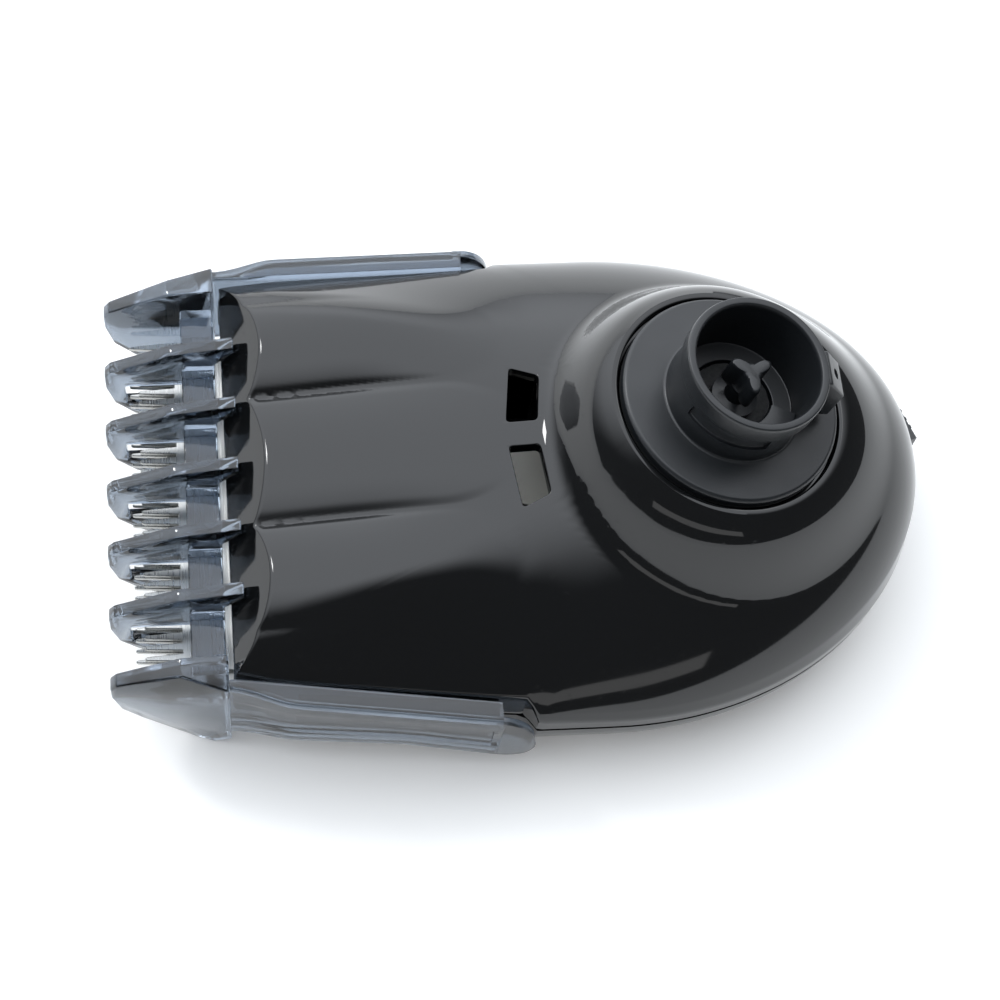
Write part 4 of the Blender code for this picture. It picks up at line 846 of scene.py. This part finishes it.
(lowX, lowZ), (highX, highZ) = comb["bar"]
barHalf = (comb["cheekIn"] + comb["barOverlap"]) * mm
guard = newPiece("guardComb", softBox((lowX * mm, -barHalf, lowZ * mm), (highX * mm, barHalf, highZ * mm),
                                      comb["barSoften"] * mm, 3), smokePc)
joined = []
for n in range(comb["ribs"]):
    y = (n - (comb["ribs"] - 1) / 2) * comb["pitch"]
    joined.append(combRib(y))
for side in (-1, 1):
    cheek = raisedOutline([Vector((x * mm, side * comb["cheekIn"] * mm, z * mm)) for x, z in comb["cheek"]],
                          (0, side * (comb["cheekOut"] - comb["cheekIn"]) * mm, 0))
    for vert in cheek.verts:
        if abs(vert.co.y) > (comb["cheekIn"] + 0.1) * mm:
            vert.co.y = side * cheekOut(vert.co.x / mm) * mm
            vert.co.z = min(vert.co.z, armTop(vert.co.x / mm) * mm - comb["cheekDrop"] * mm)
    bmesh.ops.bevel(cheek, geom=cheek.edges[:], offset=comb["cheekSoften"] * mm, offset_type="OFFSET",
                    segments=3, profile=0.5, affect="EDGES", material=-1, clamp_overlap=True)
    joined.append(cheek)
    span = comb["armEnd"] - comb["armStart"]
    stations = [comb["armStart"] + span * i / comb["armStations"] for i in range(comb["armStations"] + 1)]
    joined.append(loftedSections([armSection(side, x) for x in stations]))
    span = comb["tailEnd"] - comb["armEnd"] + comb["tailOverlap"]
    steps = comb["tailSteps"]
    stations = [comb["tailEnd"] - span * (1 - i / steps) for i in range(steps + 1)]
    joined.append(loftedSections([tailSection(side, x) for x in stations]))
carve(guard, "UNION", joined, 30)
finishPiece(guard, "comb", "smoke_clear", "guard_comb")
print("guard comb ready")

# cutter blades

blades = {
    "pitch": 0.93, "thick": 0.45, "toothLength": 3.0,
    "fixed": {"teeth": 34, "tip": -33.2, "rear": -16.6, "low": 6.3, "tipHalf": 0.13, "rootHalf": 0.36},
    "moving": {"teeth": 32, "tip": -32.45, "rear": -20.0, "low": 6.85, "tipHalf": 0.17, "rootHalf": 0.36},
    "nose": 0.18, "noseShare": 0.4,  # length and narrowing of each tooth's end
    "soften": 0.06, "holes": (-18.1, 8.5), "holeRadius": 0.75, "holeTop": 9,
}


def toothedBlade(sizes):
    half = sizes["teeth"] * blades["pitch"] / 2
    root = sizes["tip"] + blades["toothLength"]
    outline = [(sizes["rear"], -half)]
    for n in range(sizes["teeth"]):
        middle = -half + (n + 0.5) * blades["pitch"]
        tip, foot = sizes["tipHalf"] * blades["pitch"], sizes["rootHalf"] * blades["pitch"]
        nose, narrow = sizes["tip"] + blades["nose"], tip * blades["noseShare"]
        outline += [(root, middle - foot), (nose, middle - tip), (sizes["tip"], middle - narrow),
                    (sizes["tip"], middle + narrow), (nose, middle + tip), (root, middle + foot)]
    outline.append((sizes["rear"], half))
    points = [Vector((x * mm, y * mm, sizes["low"] * mm)) for x, y in outline]
    bm = raisedOutline(points, (0, 0, blades["thick"] * mm))
    rims = [e for e in bm.edges if abs(e.verts[0].co.z - e.verts[1].co.z) < 1e-7]
    bmesh.ops.bevel(bm, geom=rims, offset=blades["soften"] * mm, offset_type="OFFSET", segments=1,
                    profile=0.5, affect="EDGES", material=-1, clamp_overlap=True)
    return bm


fixedBlade = newPiece("fixedBlade", toothedBlade(blades["fixed"]), groundSteel, 20)
holeX, holeY = blades["holes"]
holes = []
for side in (-1, 1):
    at = Matrix.Translation((holeX * mm, side * holeY * mm, 0))
    holes.append(cylinder(blades["holeRadius"] * mm, 0, blades["holeTop"] * mm, 28, at))
carve(fixedBlade, "DIFFERENCE", holes, 20)
finishPiece(fixedBlade, "housing", "blade_steel", "fixed_blade")
movingBlade = newPiece("movingBlade", toothedBlade(blades["moving"]), groundSteel, 20)
finishPiece(movingBlade, "blade", "blade_steel", "moving_blade")
print("blades ready")

# cover screws and length tab

screws = {
    "nodes": {"cover_screw_front_near": (-1.5, -14.2), "cover_screw_front_far": (-1.5, 14.2),
              "cover_screw_rear_near": (20.5, -11.0), "cover_screw_rear_far": (20.5, 11.0)},
    "head": [(0, 0.25), (0.55, 0.27), (1.05, 0.36), (1.38, 0.55), (1.5, 0.8), (1.5, 1.22), (1.44, 1.25)],
    "shank": [(0.8, 1.25), (0.8, 10.6), (0.45, 11.4), (0, 11.4)],
    "slotLength": 1.7, "slotWidth": 0.34, "slotDepth": 0.6, "slotTurns": (20, 110), "slotSoften": 0.04,
    "threadPitch": 0.7, "threadDepth": 0.12, "threadLow": 2.0, "threadTop": 10.4,
}
for name, (x, y) in screws["nodes"].items():
    profile = list(screws["head"]) + [screws["shank"][0]]
    pitch, crest = screws["threadPitch"], screws["shank"][0][0]
    root = crest - screws["threadDepth"]
    for n in range(int((screws["threadTop"] - screws["threadLow"]) / pitch)):  # rings that read as a thread
        low = screws["threadLow"] + n * pitch
        profile += [(root, low), (crest, low + 0.35 * pitch), (root, low + 0.7 * pitch)]
    profile += list(screws["shank"][2:])
    at = Matrix.Translation((x * mm, y * mm, 0))
    screw = newPiece(name.replace("_", " ").title().replace(" ", ""),
                     turnedShape([(r * mm, h * mm) for r, h in profile], 32, at), platedSteel)
    arms = []
    long, wide = screws["slotLength"] / 2 * mm, screws["slotWidth"] / 2 * mm
    deep = (screws["head"][0][1] + screws["slotDepth"]) * mm
    for turn in screws["slotTurns"]:
        turned = at @ Matrix.Rotation(math.radians(turn), 4, "Z")
        arms.append(softBox((-long, -wide, -mm), (long, wide, deep), screws["slotSoften"] * mm, 1, turned))
    carve(screw, "DIFFERENCE", arms)
    finishPiece(screw, "housing", "bright_steel", name)

tab = {"ridges": 5, "spacing": 0.85, "width": 0.42, "proud": 0.22, "reach": (1.2, 2.0), "z": (3.35, 6.85),
       "turn": 20, "soften": 0.12}
pivot = Vector(joints["selector_turn"]["pos_m"])
reach = form["rearX"] - pivot.x
turned = Matrix.Translation((pivot.x, pivot.y, 0)) @ Matrix.Rotation(math.radians(tab["turn"]), 4, "Z")
nodes["length_selector"].data.materials.clear()
nodes["length_selector"].data.materials.append(grainedAbs)
grip = bmesh.new()
for n in range(tab["ridges"]):
    y = (n - (tab["ridges"] - 1) / 2) * tab["spacing"] * mm
    inner, outer = reach + tab["reach"][0] * mm, reach + (tab["reach"][1] + tab["proud"]) * mm
    ridge = softBox((inner, y - tab["width"] / 2 * mm, tab["z"][0] * mm),
                    (outer, y + tab["width"] / 2 * mm, tab["z"][1] * mm), tab["soften"] * mm, 3, turned)
    scratch = bpy.data.meshes.new("ridge")
    ridge.to_mesh(scratch)
    ridge.free()
    grip.from_mesh(scratch)
    bpy.data.meshes.remove(scratch)
finishPiece(newPiece("tabGrip", grip, grainedAbs), "selector", "satin_black")
print("screws and tab ready")

# CAD parts that keep their shape, with finer finishes

keptParts = {
    "spindle_bush": turnedBrass, "spindle_seal": nitrile, "spindle_circlip": platedSteel,
    "eccentric_cam": milkyAcetal, "drive_lever": milkyAcetal, "lever_pivot_pin": platedSteel,
    "pivot_clip": platedSteel, "inner_frame": grainedAbs, "blade_driver": milkyAcetal,
    "cutter_holder": grainedAbs, "blade_spring": platedSteel, "detent_spring": platedSteel,
    "comb_carriage": grainedAbs, "blade_screw_near": platedSteel, "blade_screw_far": platedSteel,
    "frame_screw_near": platedSteel, "frame_screw_far": platedSteel, "selector_screw": platedSteel,
    "spigot_screw_1": platedSteel, "spigot_screw_2": platedSteel, "spigot_screw_3": platedSteel,
}
for name, finish in keptParts.items():
    nodes[name].data.materials.clear()
    nodes[name].data.materials.append(finish)
print("inner parts finished")
